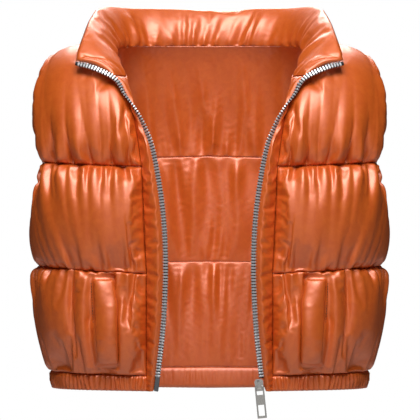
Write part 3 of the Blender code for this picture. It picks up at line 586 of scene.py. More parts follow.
def rise(distance, reach):
    """From 0 at a sewn edge to 1 where the edge no longer tells."""
    return np.sqrt(1.0 - (1.0 - ramp(distance, 0.0, reach)) ** 2)


def edge_distances(grid):
    """Distance of each point from the first and the last point of its row."""
    run = np.cumsum(step_lengths(grid, 1), axis=1)
    run = np.concatenate((np.zeros((len(grid), 1)), run), axis=1)
    return run, run[:, -1:] - run


def puff_shape(grid, middle_puff, side_puff, out):
    """Height of a plain puff over the seam surface."""
    start, end = edge_distances(grid)
    peak = middle_puff + (side_puff - middle_puff) * np.abs(out) ** 3
    rolls = rise(start, SIDE_ROLL if out[0] < 0 else SEAM_ROLL) * rise(end, SIDE_ROLL)
    return np.sin(np.pi * share_down(grid)) ** 0.5 * peak * rolls


def cloth_excess(grid, most, out):
    """How much larger than its place the cloth is cut, less towards the sides."""
    return np.broadcast_to(most * (1.0 - SIDE_SLACK * out ** 2), grid.shape[:2])


def pressed_share(grid, neck_rows):
    """Share of its puff that the top front tier keeps beside the lapel."""
    neck = neck_rows / (len(grid) - 1)
    beside = 1.0 - ramp(share_down(grid), neck, PRESSED_BELOW)
    return ramp(edge_distances(grid)[0], 0.0, PRESSED_BESIDE) * beside + 1.0 - beside


def freed_share(grid, out):
    """Share of its puff that the top back tier keeps below the collar."""
    slow = ramp(share_down(grid), 0.0, NECK_DROP)
    slow = slow * slow * (3.0 - 2.0 * slow)
    neck = ramp(NECK_HALF - np.abs(out), 0.0, NECK_EASE)
    return 1.0 - neck * (1.0 - slow)


def make_tier(name, grid, puff, pleating, excess, inside, inside_hold, welt=math.inf):
    """A tier: seeded with gathers, blown up, and held to the room that it has."""
    rows, columns = grid.shape[:2]
    normals = grid_normals(grid)
    shoulder = name.endswith("top")
    armhole = np.zeros(columns)
    if not shoulder:
        top = grid[0, :, 2]
        armhole = ramp(top.max() - top, *ARMHOLE_RAMP)
    folds = pleats(grid, **pleating) * (1.0 - ARMHOLE_CALM * armhole)
    folds *= ramp(welt, *WELT_RAMP)
    outer_folds = folds * np.minimum(1.0, puff / FOLDS_FROM_PUFF)
    inner_puff = np.sin(np.pi * share_down(grid)) ** 0.6 * np.minimum(1.0, puff / LINING_FROM_PUFF)
    lining = inside * inner_puff - SEEDED_LINING_FOLDS * folds * inner_puff
    piece = closed_piece(name, grid, normals, SEEDED_PUFF * puff + outer_folds, lining)
    blow_up(piece, (rows, columns), excess, TIER_PRESSURE, inside_hold)
    points = hold_back(piece, grid, normals, puff + ROOM_OUTSIDE, inside * ROOM_INSIDE)
    outer = points[:rows * columns].reshape(rows, columns, 3)
    outer += normals * outer_folds[..., None]
    inner = points[rows * columns:].reshape(rows - 2, columns - 2, 3)
    inner += (normals * (PRESSED_LINING_FOLDS * folds * inner_puff)[..., None])[1:-1, 1:-1]
    room = ROOM_ABOVE_SHOULDER if shoulder else ROOM_ABOVE_ARMHOLE * armhole
    foot = grid[-1, :, 2]
    outer[..., 2] = np.clip(outer[..., 2], foot, np.maximum(grid[0, :, 2] + room, foot))
    groove = WELT_GROOVE * np.exp(-(welt / WELT_GROOVE_WIDTH) ** 2)
    outer -= normals * groove[..., None]
    set_points(piece, points)
    return piece


def sewn(grid):
    """Leave a hair's gap at the seams with the tiers above and below."""
    grid = grid.copy()
    grid[0, :, 2] -= GAP
    grid[-1, :, 2] += GAP
    return grid


def welt_sides(heights):
    """Left and right edge of the pocket welt at the given heights."""
    return (np.interp(-heights, [-z for _, z in side], [x for x, _ in side])
            for side in (WELT_LEFT, WELT_RIGHT))


def welt_distance(grid):
    """Distance of each point outside the pocket welt, below 0 inside it."""
    x = grid[..., 0]
    z = grid[..., 2]
    left, right = welt_sides(z)
    beside = np.maximum(left - x, x - right)
    above = np.maximum(z - WELT_TOP, WELT_FOOT - z)
    outside = np.hypot(np.maximum(beside, 0.0), np.maximum(above, 0.0))
    return outside + np.minimum(np.maximum(beside, above), 0.0)


def dress(piece, finish):
    """Give a piece its finish, and the place of the solid named after its first word."""
    node = piece.name.split("_", 1)[1]
    piece.data.materials.clear()
    piece.data.materials.append(materials[finish])
    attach(piece, "vest")
    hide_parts(node)


def padded_node(piece):
    """Round a padded piece once, and let it stand for its plain solid."""
    rounding = piece.modifiers.new("rounding", "SUBSURF")
    rounding.render_levels = 1
    dress(piece, "satin")


def padded_pair(left):
    """A padded piece and its twin on the other side."""
    padded_node(left)
    padded_node(mirrored_twin(left))


def make_fronts():
    """Three tiers down each front. Gives the bottom left one, its grid and all band edges."""
    across = evenly(FRONT_COLUMNS)
    top, neck_rows = front_top(FRONT_COLUMNS, ROWS)
    grids = {
        "top": top,
        "middle": lower_tier(front_point, 0, FRONT_COLUMNS, ROWS, FRONT_ARM),
        "bottom": lower_tier(front_point, 1, FRONT_COLUMNS, ROWS),
    }
    edges = []
    for level, grid in grids.items():
        grid = sewn(grid)
        if level != "top":
            grid[:, -1, 1] = -GAP
        puff = puff_shape(grid, FRONT_PUFF, SIDE_PUFF[level], across)
        excess = cloth_excess(grid, FRONT_EXCESS, across)
        if level == "top":
            share = pressed_share(grid, neck_rows)
            puff = puff * share
            excess = excess * (PRESSED_LEAST + (1.0 - PRESSED_LEAST) * share)
        edges.append(grid[neck_rows:, 0] if level == "top" else grid[:, 0])
        welt = welt_distance(grid) if level == "bottom" else math.inf
        piece = make_tier(f"padded_front_left_{level}", grid, puff, FRONT_PLEATS[level], excess,
                          FRONT_INSIDE, FRONT_HOLD, welt)
        padded_pair(piece)
    return piece, grid, edges


def from_middle(share, level):
    """The back's stitch line the other way, from its middle outwards."""
    return back_point(1.0 - share, level)


def make_back():
    """Three tiers right across the back."""
    half = BACK_COLUMNS // 2
    halves = {
        "top": back_top(half, ROWS),
        "middle": lower_tier(from_middle, 0, half, ROWS, 1.0 - BACK_ARM),
        "bottom": lower_tier(from_middle, 1, half, ROWS),
    }
    for level, left in halves.items():
        grid = sewn(left[:, ::-1])
        if level == "top":
            grid[0, :, 1] += GAP
        else:
            grid[:, 0, 1] = GAP
        grid = both_halves(grid)
        out = np.linspace(-1.0, 1.0, grid.shape[1])
        puff = puff_shape(grid, BACK_PUFF, SIDE_PUFF[level], out)
        inside = BACK_INSIDE
        if level == "top":
            freed = freed_share(grid, out)
            puff = puff * freed
            inside = BACK_INSIDE * freed
        piece = make_tier(f"padded_back_{level}", grid, puff, BACK_PLEATS[level],
                          cloth_excess(grid, BACK_EXCESS, out), inside, BACK_HOLD)
        padded_node(piece)


# Elastic hem

HEM_LEVEL = 2.0
HEM_COLUMNS = 130
HEM_ROWS = 12
HEM_SEEDS = {"left": 31, "back": 32}
RIB_PITCH = 7.5
RIB_WIDTHS = (0.5, 1.7)
RIB_HEIGHTS = (0.45, 1.2)
RIB_CHANGES = 23
RIB_HEIGHT = 2.5
RIB_DRIFT = 0.12
HEM_OUTSIDE = 2.8
HEM_INSIDE = 1.4
HEM_SEAM_SHARE = 0.12


def make_hem():
    """The elastic hem band, gathered into fine upright ribs."""
    even = evenly(HEM_COLUMNS)
    levels = HEM_LEVEL + evenly(HEM_ROWS)[:, None]
    front = front_point(even, levels)
    front[0, :, 2] -= GAP
    front[:, -1, 1] = -GAP
    half = back_point(even, levels)
    half[0, :, 2] -= GAP
    half[:, 0, 1] = GAP
    for name, grid in (("left", front), ("back", both_halves(half))):
        piece, width = gathered_hem(f"gathered_hem_{name}", grid, HEM_SEEDS[name])
        for stretch in (piece, mirrored_twin(piece)) if name == "left" else (piece,):
            dress(stretch, "satin")
    return front[:, 0]


def gathered_hem(name, grid, seed):
    """A thin closed sheet with ribs that drift a little as they run down."""
    normals = grid_normals(grid)
    random = np.random.default_rng(seed)
    columns = grid.shape[1]
    width = step_lengths(grid[HEM_ROWS // 2], 0).sum()
    warp = uneven_steps(random, RIB_WIDTHS, columns, width, RIB_PITCH)
    v = share_down(grid)
    drift = RIB_DRIFT * np.sin(2 * np.pi * (warp * 0.13 + 0.7 * v))
    uneven = uneven_line(random, evenly(columns - 1), RIB_CHANGES, RIB_HEIGHTS)
    ribs = (1.0 - 2.0 * np.abs(np.sin(np.pi * (warp + drift))) ** 0.8) * uneven
    swell = np.sin(np.pi * v) ** 0.5
    away = ramp(v, 0.0, HEM_SEAM_SHARE)
    outside = (HEM_OUTSIDE + 1.6 * swell + RIB_HEIGHT * ribs * (0.5 + 0.5 * swell)) * away
    inside = (HEM_INSIDE + 1.0 * swell - 0.7 * ribs * swell) * away
    return closed_piece(name, grid, normals, outside, inside), width


# Front bands and collar

ZIP_POINTS = 300
TAPE_BACK = 3.6
BAND_COLUMNS = 12
BAND_PLUMP = 8.0
BAND_FULL_WIDTH = 26.0
BAND_TOP_RAMP = (-4.0, 30.0)
BAND_HALF_WALL = 0.9
BAND_SEED = 41
BAND_LENGTH = 460.0
RIPPLE_PITCH = 17.0
RIPPLE_WIDTHS = (0.5, 1.6)
RIPPLE_HEIGHTS = (0.2, 1)
RIPPLE_CHANGES = 17
RIPPLE_HEIGHT = 0.45
BAND_EXCESS = 0.03
BAND_PRESSURE = 3.0
BAND_ROOM = 3.0

COLLAR_ROWS = 26
COLLAR_FRONT_COLUMNS = 26
COLLAR_BACK_COLUMNS = 45
COLLAR_BOW = 8.0
COLLAR_BACK_BOW_SHARE = 0.4
COLLAR_SIDE_ROLL = 14.0
LAPEL_REACH = 70.0
LAPEL_FLAT_START = 0.45
COLLAR_PLEATS = {"seed": 51, "top": 0.0, "pitch": 22.0, "height": 4.2, "reach": 26.0}
COLLAR_PLEAT_START = 0.35
COLLAR_HALF_WALL = 1.2
COLLAR_SEAM_SHARE = 0.12
COLLAR_OUTSIDE = 3.0
COLLAR_INSIDE = 4.0
COLLAR_ROOM_OUTSIDE = 5.0
COLLAR_ROOM_INSIDE = 7.0
COLLAR_EXCESS = 0.04
COLLAR_PRESSURE = 3.0


def zip_rows(heights):
    """Zip table rows at the given heights."""
    dense = smooth_curve(ZIP, ZIP_POINTS)
    rows = sample(dense[::-1], dense[::-1, 2], heights)
    return rows[:, :3], unit(rows[:, 3:])


def tape_normals(teeth, ways):
    """Outward normals of the zip tape, whose edge points these ways."""
    return unit(np.cross(np.gradient(teeth, axis=0), ways))


def make_bands(edges, hem_edge):
    """The padded band down each front, which turns its inside out above the chest."""
    panel = np.concatenate((edges[0], edges[1][1:], edges[2][1:], hem_edge[1:]))
    heights = panel[:, 2].copy()
    heights[0] = ZIP_NECK_Z
    teeth, ways = zip_rows(heights)
    zip_edge = teeth - ways * TAPE_BACK
    across = evenly(BAND_COLUMNS)
    grid = zip_edge[:, None] + (panel - zip_edge)[:, None] * across[None, :, None]
    normals = grid_normals(grid)
    z = grid[:, 0, 2]
    plump = BAND_PLUMP * ramp(np.linalg.norm(panel - zip_edge, axis=1), 0.0, BAND_FULL_WIDTH)
    plump = plump * ramp(z[0] - z, *BAND_TOP_RAMP)
    lapel = ramp(z, LAPEL_END_Z, ZIP_NECK_Z - LAPEL_END_Z)
    bulge = np.sin(np.pi * across ** 0.5) ** 0.8
    front = BAND_HALF_WALL + np.outer(plump * (1.0 - 0.8 * lapel), bulge)
    inside = BAND_HALF_WALL + np.outer(plump * (0.4 + 0.4 * lapel), bulge)
    random = np.random.default_rng(BAND_SEED)
    count = len(grid)
    warp = uneven_steps(random, RIPPLE_WIDTHS, count, BAND_LENGTH, RIPPLE_PITCH)
    ripple = np.sin(2 * np.pi * (warp[:, None] + 0.5 * across[None, :]))
    uneven = uneven_line(random, evenly(count - 1), RIPPLE_CHANGES, RIPPLE_HEIGHTS)
    ripple = ripple * uneven[:, None] * bulge * RIPPLE_HEIGHT
    piece = closed_piece("padded_band_left", grid, normals, front + ripple, inside + ripple * 0.6)
    blow_up(piece, grid.shape[:2], BAND_EXCESS, BAND_PRESSURE, BAND_HOLD, frames=20)
    set_points(piece, hold_back(piece, grid, normals, front + BAND_ROOM, inside + BAND_ROOM))
    padded_pair(piece)
    return grid, heights


def collar_grid(band_top):
    """The collar's middle surface, from its left corner to its right one."""
    low = np.concatenate((band_top[:-1],
                          smooth_curve(FRONT_NECK[::-1], COLLAR_FRONT_COLUMNS + 1),
                          smooth_curve(BACK_NECK, COLLAR_BACK_COLUMNS + 1)[1:]))
    low = low + (0.0, 0.0, GAP)
    teeth, ways = zip_rows(np.linspace(ZIP_TOP_Z, ZIP_NECK_Z + GAP, COLLAR_ROWS + 1))
    zip_edge = teeth - ways * TAPE_BACK
    front_high = smooth_curve(COLLAR_TOP_FRONT, COLLAR_FRONT_COLUMNS + 1)
    lead = np.linspace(zip_edge[0], front_high[0], len(band_top))
    high = np.concatenate((lead[:-1], front_high,
                           smooth_curve(COLLAR_TOP_BACK, COLLAR_BACK_COLUMNS + 1)[1:]))
    up = evenly(COLLAR_ROWS)[:, None, None]
    half = high + (low - high) * up
    laid_open = np.linspace(1.0, COLLAR_BACK_BOW_SHARE, half.shape[1])[None, :, None]
    bow = COLLAR_BOW * np.sin(np.pi * up) ** 0.6
    half = half - grid_normals(half) * bow * laid_open
    half[:, 0] = zip_edge
    return both_halves(half)


def make_collar(band_top):
    """The padded stand collar, upright at the back and laid open in front."""
    grid = collar_grid(band_top)
    normals = grid_normals(grid)
    v = share_down(grid)
    start, end = edge_distances(grid)
    sides = rise(start, COLLAR_SIDE_ROLL) * rise(end, COLLAR_SIDE_ROLL)
    lapel = 1.0 - ramp(np.minimum(start, end), 0.0, LAPEL_REACH)
    eased = sides * (1.0 - lapel * ramp(v, LAPEL_FLAT_START, 1.0 - LAPEL_FLAT_START))
    swell = np.sin(np.pi * v) ** 0.55 * eased
    folds = pleats(grid, **COLLAR_PLEATS) * eased * ramp(v, 0.0, COLLAR_PLEAT_START)
    wall = COLLAR_HALF_WALL * ramp(1.0 - v, 0.0, COLLAR_SEAM_SHARE)
    piece = closed_piece("padded_collar", grid, normals, wall + COLLAR_OUTSIDE * swell + folds,
                         wall + COLLAR_INSIDE * swell - folds)
    blow_up(piece, grid.shape[:2], COLLAR_EXCESS, COLLAR_PRESSURE, frames=24)
    set_points(piece, hold_back(piece, grid, normals, wall + COLLAR_ROOM_OUTSIDE * swell,
                                wall + COLLAR_ROOM_INSIDE * swell))
    padded_node(piece)


# Zip

TAPE_WIDTH = 7.0
TAPE_TUCK = 0.6
TAPE_HALF_WALL = 0.7
TAPE_COLUMNS = 4
TAPE_ENDS = {"left": -477.6, "right": -480.4}
TAPE_LAST_STEP = 2.0
TEETH_POINTS = 900
TOOTH_PITCH = 4.4
TOOTH_WIDTH = 7.6
TOOTH_HEIGHT = 3.0
TOOTH_DEPTH = 3.4
TOOTH_GRIP = 0.2
TOOTH_BEVEL = 0.35
# Corners of a tooth across and along the tape, as shares of its size
TOOTH_CORNERS = ((-0.5, -0.36), (0.12, -0.5), (0.5, -0.34), (0.5, 0.34), (0.12, 0.5), (-0.5, 0.36))


def make_tapes(heights):
    """Woven zip tapes with moulded teeth."""
    top = np.linspace(ZIP_TOP_Z, ZIP_NECK_Z, COLLAR_ROWS + 1)[:-1]
    for side, end in TAPE_ENDS.items():
        rows = np.concatenate((top, heights[heights > end + TAPE_LAST_STEP], (end,)))
        teeth, ways = zip_rows(rows)
        across = np.linspace(TAPE_TUCK - TAPE_BACK, TAPE_WIDTH - TAPE_BACK, TAPE_COLUMNS + 1)
        grid = teeth[:, None] + ways[:, None] * across[None, ::-1, None]
        piece = closed_piece(f"woven_tape_{side}", grid, tape_normals(teeth, ways)[:, None],
                             TAPE_HALF_WALL, TAPE_HALF_WALL)
        row = make_teeth(f"zip_teeth_{side}", rows[0], end)
        if side == "right":
            mirror(piece)
            mirror(row)
        dress(piece, "tape")
        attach(row, "vest")


def make_teeth(name, top, end):
    """A row of moulded teeth on the edge of a tape."""
    line, ways = zip_rows(np.linspace(top - 1.0, end, TEETH_POINTS))
    length = run_length(line)
    stops = np.arange(TOOTH_PITCH / 2, length[-1], TOOTH_PITCH)
    centres = sample(line, length, stops)
    towards = unit(sample(ways, length, stops))
    along = unit(sample(np.gradient(line, axis=0), length, stops))
    count = len(TOOTH_CORNERS)
    shape = bmesh.new()
    for centre, way, run in zip(centres, towards, along):
        out = unit(np.cross(run, way))
        way = np.cross(out, run)
        corners = []
        for depth in (-0.5, 0.5):
            for across, height in TOOTH_CORNERS:
                point = (centre + way * (across * TOOTH_WIDTH - TOOTH_GRIP)
                         + run * height * TOOTH_HEIGHT + out * depth * TOOTH_DEPTH)
                corners.append(shape.verts.new(point * MM))
        shape.faces.new(corners[count - 1::-1])
        shape.faces.new(corners[count:])
        for number in range(count):
            after = (number + 1) % count
            shape.faces.new((corners[number], corners[after], corners[after + count],
                             corners[number + count]))
    bmesh.ops.recalc_face_normals(shape, faces=shape.faces)
    bmesh.ops.bevel(shape, geom=list(shape.edges), offset=TOOTH_BEVEL * MM, segments=1,
                    affect="EDGES")
    mesh = bpy.data.meshes.new(name)
    shape.to_mesh(mesh)
    shape.free()
    mesh.materials.append(materials["teeth"])
    return new_object(name, mesh)


# Pocket welts and their stitches

WELT_ROWS = 48
WELT_COLUMNS = 16
WELT_SMOOTHING = 25
IN_FRONT = -300.0
WELT_EDGE = 1.2
WELT_PUFF = 9.5
WELT_BACK = 0.5
WELT_SEED = 61
WELT_PUCKERS = 25
PUCKER_HEIGHT = 0.5
SLACK_HEIGHT = 1.3
SEAM_BESIDE = 3.0
SEAM_BELOW = 1.5
STITCH_START = 0.5
STITCH = 2.8
STITCH_GAP = 1.2
# Real thread is 0.3 mm thick, too fine to show
THREAD = 1.0
THREAD_SIDES = 6
# A stitch dips into the cloth at both ends: shares of its length, and heights in threads
STITCH_SHARES = np.array((0.0, 0.3, 0.7, 1.0))
STITCH_HEIGHTS = np.array((-0.4, 0.3, 0.3, -0.4))


def lie_on(tree, x, z):
    """The tier's surface straight behind x and z, and its outward normal."""
    hit, normal, _, _ = tree.ray_cast(Vector((x, IN_FRONT, z)), Vector((0.0, 1.0, 0.0)))
    return np.array(hit), np.array(normal) * (-1.0 if normal.y > 0 else 1.0)


def smoothed_tier(piece, grid):
    """The tier's outer sheet with its folds evened out, to lay the welt on."""
    rows, columns = grid.shape[:2]
    sheet = mesh_points(piece.data)[:rows * columns].reshape(rows, columns, 3).copy()
    for _ in range(WELT_SMOOTHING):
        sheet[1:-1, 1:-1] = (sheet[1:-1, 1:-1] * 2 + sheet[:-2, 1:-1] + sheet[2:, 1:-1]
                             + sheet[1:-1, :-2] + sheet[1:-1, 2:]) / 6
    ids = np.arange(rows * columns).reshape(rows, columns)
    return BVHTree.FromPolygons(sheet.reshape(-1, 3).tolist(), grid_faces(ids, False).tolist())


def make_welts(bottom_tier, grid):
    """Padded pocket welts, which lie on the bottom tiers."""
    tree = smoothed_tier(bottom_tier, grid)
    down = evenly(WELT_ROWS)
    across = evenly(WELT_COLUMNS)
    heights = WELT_TOP + (WELT_FOOT - WELT_TOP) * down
    left, right = welt_sides(heights)
    under = np.zeros((WELT_ROWS + 1, WELT_COLUMNS + 1, 3))
    ways = under.copy()
    for row, z in enumerate(heights):
        for column, share in enumerate(across):
            x = left[row] + (right[row] - left[row]) * share
            under[row, column], ways[row, column] = lie_on(tree, x, z)
    bump = np.outer(np.sin(np.pi * down) ** 0.2, np.sin(np.pi * across) ** 0.42)
    puckers = uneven_line(np.random.default_rng(WELT_SEED), down, WELT_PUCKERS, (-1, 1))
    slack = np.outer(puckers, np.sin(2 * np.pi * across)) * PUCKER_HEIGHT
    slack += np.outer(np.cos(5 * down + 0.6), np.cos(np.pi * across)) * SLACK_HEIGHT
    height = WELT_EDGE + WELT_PUFF * bump + slack * bump
    padded_pair(closed_piece("padded_welt_left", under, ways, height, WELT_BACK))
    seam = np.concatenate((under[:, 0] - (SEAM_BESIDE, 0, 0),
                           under[::-1, -1] + (SEAM_BESIDE, 0, 0)))
    seam_ways = np.concatenate((ways[:, 0], ways[::-1, -1]))
    sew("pocket_stitches_left", seam - seam_ways * SEAM_BELOW, seam_ways)


def stitch(line, ways):
    """Points of a round thread along four points, ring by ring."""
    line = line + ways * (STITCH_HEIGHTS * THREAD)[:, None]
    side = unit(np.cross(np.gradient(line, axis=0), ways))
    turns = 2 * np.pi * np.arange(THREAD_SIDES)[:, None] / THREAD_SIDES
    ring = side[:, None] * np.cos(turns) + ways[:, None] * np.sin(turns)
    return (line[:, None] + ring * THREAD / 2).reshape(-1, 3)


def stitch_faces(first):
    """Faces of one stitch whose points start at the given number."""
    rings = first + np.arange(len(STITCH_SHARES) * THREAD_SIDES).reshape(-1, THREAD_SIDES)
    wall = grid_faces(np.hstack((rings, rings[:, :1])), False).tolist()
    return wall + [rings[0, ::-1].tolist(), rings[-1].tolist()]


def sew(name, path, ways):
    """A row of thread stitches along a path, on both sides of the vest."""
    length = run_length(path)
    points = []
    faces = []
    for start in np.arange(STITCH_START, length[-1] - STITCH, STITCH + STITCH_GAP):
        stops = start + STITCH_SHARES * STITCH
        faces += stitch_faces(len(points))
        points.extend(stitch(sample(path, length, stops), unit(sample(ways, length, stops))))
    mesh = bpy.data.meshes.new(name)
    mesh.from_pydata((np.array(points) * MM).tolist(), [], faces)
    mesh.shade_smooth()
    mesh.materials.append(materials["thread"])
    left = new_object(name, mesh)
    for row in (left, mirrored_twin(left)):
        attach(row, "vest")


# Finishes

# Spacing and depth of each pattern, in millimetres
CREASE_SPACING = 10.5263
CREASE_DEPTH = 1.2
WEAVE_SPACING = 1.1111
WEAVE_DEPTH = 0.3
TAPE_RIB_SPACING = 1.2083
TAPE_RIB_DEPTH = 0.4
RUB_SPACING = 1.4286
TWIST_SPACING = 0.6667
GRAIN_DEPTH = 0.2
# Satin base colour from darker to lighter with the crease noise that also raises the bump: the low
# places of the creases are painted shade
CREASE_SHADE_STOPS = ((0.3, "#C8540F"), (0.7, "#D26017"))
# A wave texture of scale 1 turns by this angle over a metre
WAVE_ANGLE = 20.0


def linear(code):
    """An sRGB hex value as the linear colour that a shader takes."""
    channels = [int(code[place:place + 2], 16) / 255 for place in (1, 3, 5)]
    return tuple(value / 12.92 if value <= 0.04045 else ((value + 0.055) / 1.055) ** 2.4
                 for value in channels) + (1.0,)


def add_node(tree, kind, settings=(), links=()):
    """Add a node with its settings and its links into it."""
    node = tree.nodes.new(kind)
    for name, value in settings:
        if name in node.inputs:
            node.inputs[name].default_value = value
        else:
            setattr(node, name, value)
    for name, socket in links:
        tree.links.new(socket, node.inputs[name])
    return node


def finish(name, settings):
    """A Principled material with constants on its own sockets."""
    material = bpy.data.materials.new(name)
    material.use_nodes = True
    shader = material.node_tree.nodes["Principled BSDF"]
    for key, value in settings:
        shader.inputs[key].default_value = value
    return material, material.node_tree, shader


def spaced(millimetres):
    """A texture's scale for this spacing, in repeats to the metre."""
    return 1000.0 / millimetres


def add_grain(tree, shader, spacing, detail, strength):
    """A fine, shallow, even roughness all over a small piece."""
    place = add_node(tree, "ShaderNodeTexCoord")
    grain = add_node(tree, "ShaderNodeTexNoise", (("Scale", spaced(spacing)), ("Detail", detail)),
                     (("Vector", place.outputs["Object"]),))
    bump = add_node(tree, "ShaderNodeBump", (("Strength", strength), ("Distance", GRAIN_DEPTH * MM)),
                    (("Height", grain.outputs["Fac"]),))
    tree.links.new(bump.outputs["Normal"], shader.inputs["Normal"])


def polyester_satin():
    """Satin-faced woven polyester, calendered: a broad gloss that runs down each fold.

    The real threads are 0.1 mm apart, too fine to show, so the weave is drawn 1.1 mm apart.
    """
    material, tree, shader = finish("copper_polyester_satin", (
        ("Roughness", 0.43), ("IOR", 1.54), ("Metallic", 0.2), ("Specular IOR Level", 1.0)))
    place = add_node(tree, "ShaderNodeTexCoord")
    creases = add_node(tree, "ShaderNodeTexNoise",
                       (("Scale", spaced(CREASE_SPACING)), ("Detail", 4.0), ("Roughness", 0.6),
                        ("Distortion", 0.6)),
                       (("Vector", place.outputs["Object"]),))
    weave = add_node(tree, "ShaderNodeTexNoise",
                     (("Scale", spaced(WEAVE_SPACING)), ("Detail", 1.0)),
                     (("Vector", place.outputs["Object"]),))
    crumple = add_node(tree, "ShaderNodeBump", (("Strength", 0.14), ("Distance", CREASE_DEPTH * MM)),
                       (("Height", creases.outputs["Fac"]),))
    surface = add_node(tree, "ShaderNodeBump", (("Strength", 0.12), ("Distance", WEAVE_DEPTH * MM)),
                       (("Height", weave.outputs["Fac"]), ("Normal", crumple.outputs["Normal"])))
    tree.links.new(surface.outputs["Normal"], shader.inputs["Normal"])
    # The crease noise also colours the satin, darker where the bump lies low: painted shade in the
    # creases
    shade = add_node(tree, "ShaderNodeValToRGB", (), (("Fac", creases.outputs["Fac"]),))
    for stop, (position, code) in zip(shade.color_ramp.elements, CREASE_SHADE_STOPS):
        stop.position = position
        stop.color = linear(code)
    tree.links.new(shade.outputs["Color"], shader.inputs["Base Color"])
    return material


def woven_tape():
    """Polyester zip tape, herringbone woven: matt and dark grey, with ribs across it.

    The real ribs are 0.5 mm apart, too fine to show, so they are drawn 1.2 mm apart.
    """
    material, tree, shader = finish("grey_woven_tape", (
        ("Base Color", linear("#2F2E31")), ("Roughness", 0.8)))
    place = add_node(tree, "ShaderNodeTexCoord")
    rib = add_node(tree, "ShaderNodeTexWave",
                   (("Scale", spaced(TAPE_RIB_SPACING) * 2 * math.pi / WAVE_ANGLE),
                    ("bands_direction", "Z")),
                   (("Vector", place.outputs["Object"]),))
    bump = add_node(tree, "ShaderNodeBump", (("Strength", 0.4), ("Distance", TAPE_RIB_DEPTH * MM)),
                    (("Height", rib.outputs["Fac"]),))
    tree.links.new(bump.outputs["Normal"], shader.inputs["Normal"])
    return material


def moulded_teeth():
    """Metallised acetal teeth, moulded: bright silver grey with soft edges."""
    return finish("silver_moulded_acetal", (
        ("Base Color", linear("#C6C7CA")), ("Roughness", 0.36), ("Metallic", 0.6)))[0]


def moulded_pin():
    """Acetal, moulded: coloured a darker grey than the teeth as painted shade on the downward-facing
    pin, with a soft, wide gloss.
    """
    return finish("grey_moulded_acetal", (
        # The dark grey is painted shade; the pin is not darker than the teeth under any lamp
        ("Base Color", linear("#55585C")), ("Roughness", 0.45), ("IOR", 1.48)))[0]


def polished_nickel():
    """Nickel-plated zinc, die cast and barrel polished: warm, mirror-like, and faintly rubbed."""
    material, tree, shader = finish("polished_nickel_plate", (
        ("Base Color", linear("#C9C6C1")), ("Roughness", 0.2), ("Metallic", 1.0)))
    add_grain(tree, shader, RUB_SPACING, 3.0, 0.08)
    return material


def polyester_thread():
    """Twisted polyester sewing thread, coloured much darker than the cloth as painted shade in the
    groove round the pocket welt: a dull, dotted line.
    """
    # The thread is real, but its dark brown is painted shade for the groove round the welt
    material, tree, shader = finish("copper_sewing_thread", (
        ("Base Color", linear("#6E2F12")), ("Roughness", 0.5)))
    add_grain(tree, shader, TWIST_SPACING, 2.0, 0.3)
    return material


# Studio, in metres and watts

AIM = (0.0, 0.0, -0.25)
WORLD_FILL = 0.02
# Name, place, width, height and power
LAMPS = (
    ("key_box", (0.0, -1.7, 1.6), 1.5, 1.3, 88.0),
    ("front_card", (0.0, -4.0, -0.3), 2.4, 2.4, 9.0),
    ("back_box", (0.0, 1.8, 1.6), 1.5, 1.3, 70.0),
)
PAPER_GLOW = 0.6
FLOOR_Z = -1.4
FLOOR_REACH = 6
CAMERA_PLACE = (0.0007, -12.14, -0.23635)
FOCAL_LENGTH = 709.4
WHITE = (1.0, 1.0, 1.0, 1.0)


def softbox(name, place, wide, tall, watts):
    """A large diffused box that faces the vest."""
    light = bpy.data.lights.new(name, "AREA")
    light.shape = "RECTANGLE"
    light.size = wide
    light.size_y = tall
    light.energy = watts
    lamp = new_object(name, light)
    lamp.location = place
    lamp.rotation_euler = (Vector(AIM) - Vector(place)).to_track_quat("-Z", "Y").to_euler()


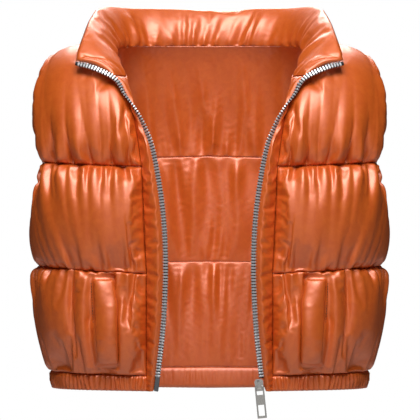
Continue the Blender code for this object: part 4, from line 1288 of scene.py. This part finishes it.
def studio_world():
    """White paper all round for the eye, and a dimmer, even fill for what it lights."""
    world = bpy.data.worlds.new("studio")
    world.use_nodes = True
    tree = world.node_tree
    paper = tree.nodes["Background"]
    paper.inputs["Color"].default_value = WHITE
    dim = add_node(tree, "ShaderNodeBackground", (("Strength", WORLD_FILL), ("Color", WHITE)))
    seen = add_node(tree, "ShaderNodeLightPath")
    both = add_node(tree, "ShaderNodeMixShader", (), (("Fac", seen.outputs["Is Camera Ray"]),))
    tree.links.new(dim.outputs["Background"], both.inputs[1])
    tree.links.new(paper.outputs["Background"], both.inputs[2])
    tree.links.new(both.outputs["Shader"], tree.nodes["World Output"].inputs["Surface"])
    bpy.context.scene.world = world


def white_paper():
    """Seamless white paper: matt, and pale from every side under these few lights."""
    material, tree, shader = finish("white_paper_sweep", (
        ("Base Color", linear("#CECECC")), ("Roughness", 0.9), ("Emission Color", WHITE)))
    seen = add_node(tree, "ShaderNodeLightPath")
    glow = add_node(tree, "ShaderNodeMath", (("operation", "MULTIPLY"),))
    tree.links.new(seen.outputs["Is Camera Ray"], glow.inputs[0])
    glow.inputs[1].default_value = PAPER_GLOW
    tree.links.new(glow.outputs["Value"], shader.inputs["Emission Strength"])
    return material


def make_floor():
    """A sheet of paper far below the vest."""
    mesh = bpy.data.meshes.new("studio_floor")
    corners = [(x * FLOOR_REACH, y * FLOOR_REACH, FLOOR_Z)
               for x, y in ((-1, -1), (1, -1), (1, 1), (-1, 1))]
    mesh.from_pydata(corners, [], [(0, 1, 2, 3)])
    mesh.materials.append(white_paper())
    new_object("studio_floor", mesh)


def make_camera():
    """A long lens, level and straight in front of the vest."""
    lens = bpy.data.cameras.new("camera")
    lens.lens = FOCAL_LENGTH
    lens.clip_end = 100.0
    camera = new_object("camera", lens)
    camera.location = CAMERA_PLACE
    camera.rotation_euler = (math.pi / 2, 0.0, 0.0)
    bpy.context.scene.camera = camera


# The vest, piece by piece

materials = {
    "thread": polyester_thread(),
    "satin": polyester_satin(),
    "tape": woven_tape(),
    "teeth": moulded_teeth(),
    "pin": moulded_pin(),
    "nickel": polished_nickel(),
}

bottom_tier, bottom_grid, band_edges = make_fronts()
make_back()
hem_edge = make_hem()
band, band_heights = make_bands(band_edges, hem_edge)
make_collar(band[0])
make_tapes(band_heights)
make_welts(bottom_tier, bottom_grid)
for node, material in (("slider", "nickel"), ("pin", "pin"), ("pull_tab", "nickel")):
    solid = bpy.data.objects[node]
    solid.data.materials.clear()
    solid.data.materials.append(materials[material])

studio_world()
for lamp in LAMPS:
    softbox(*lamp)
make_floor()
make_camera()
bpy.context.scene.view_settings.view_transform = "Standard"
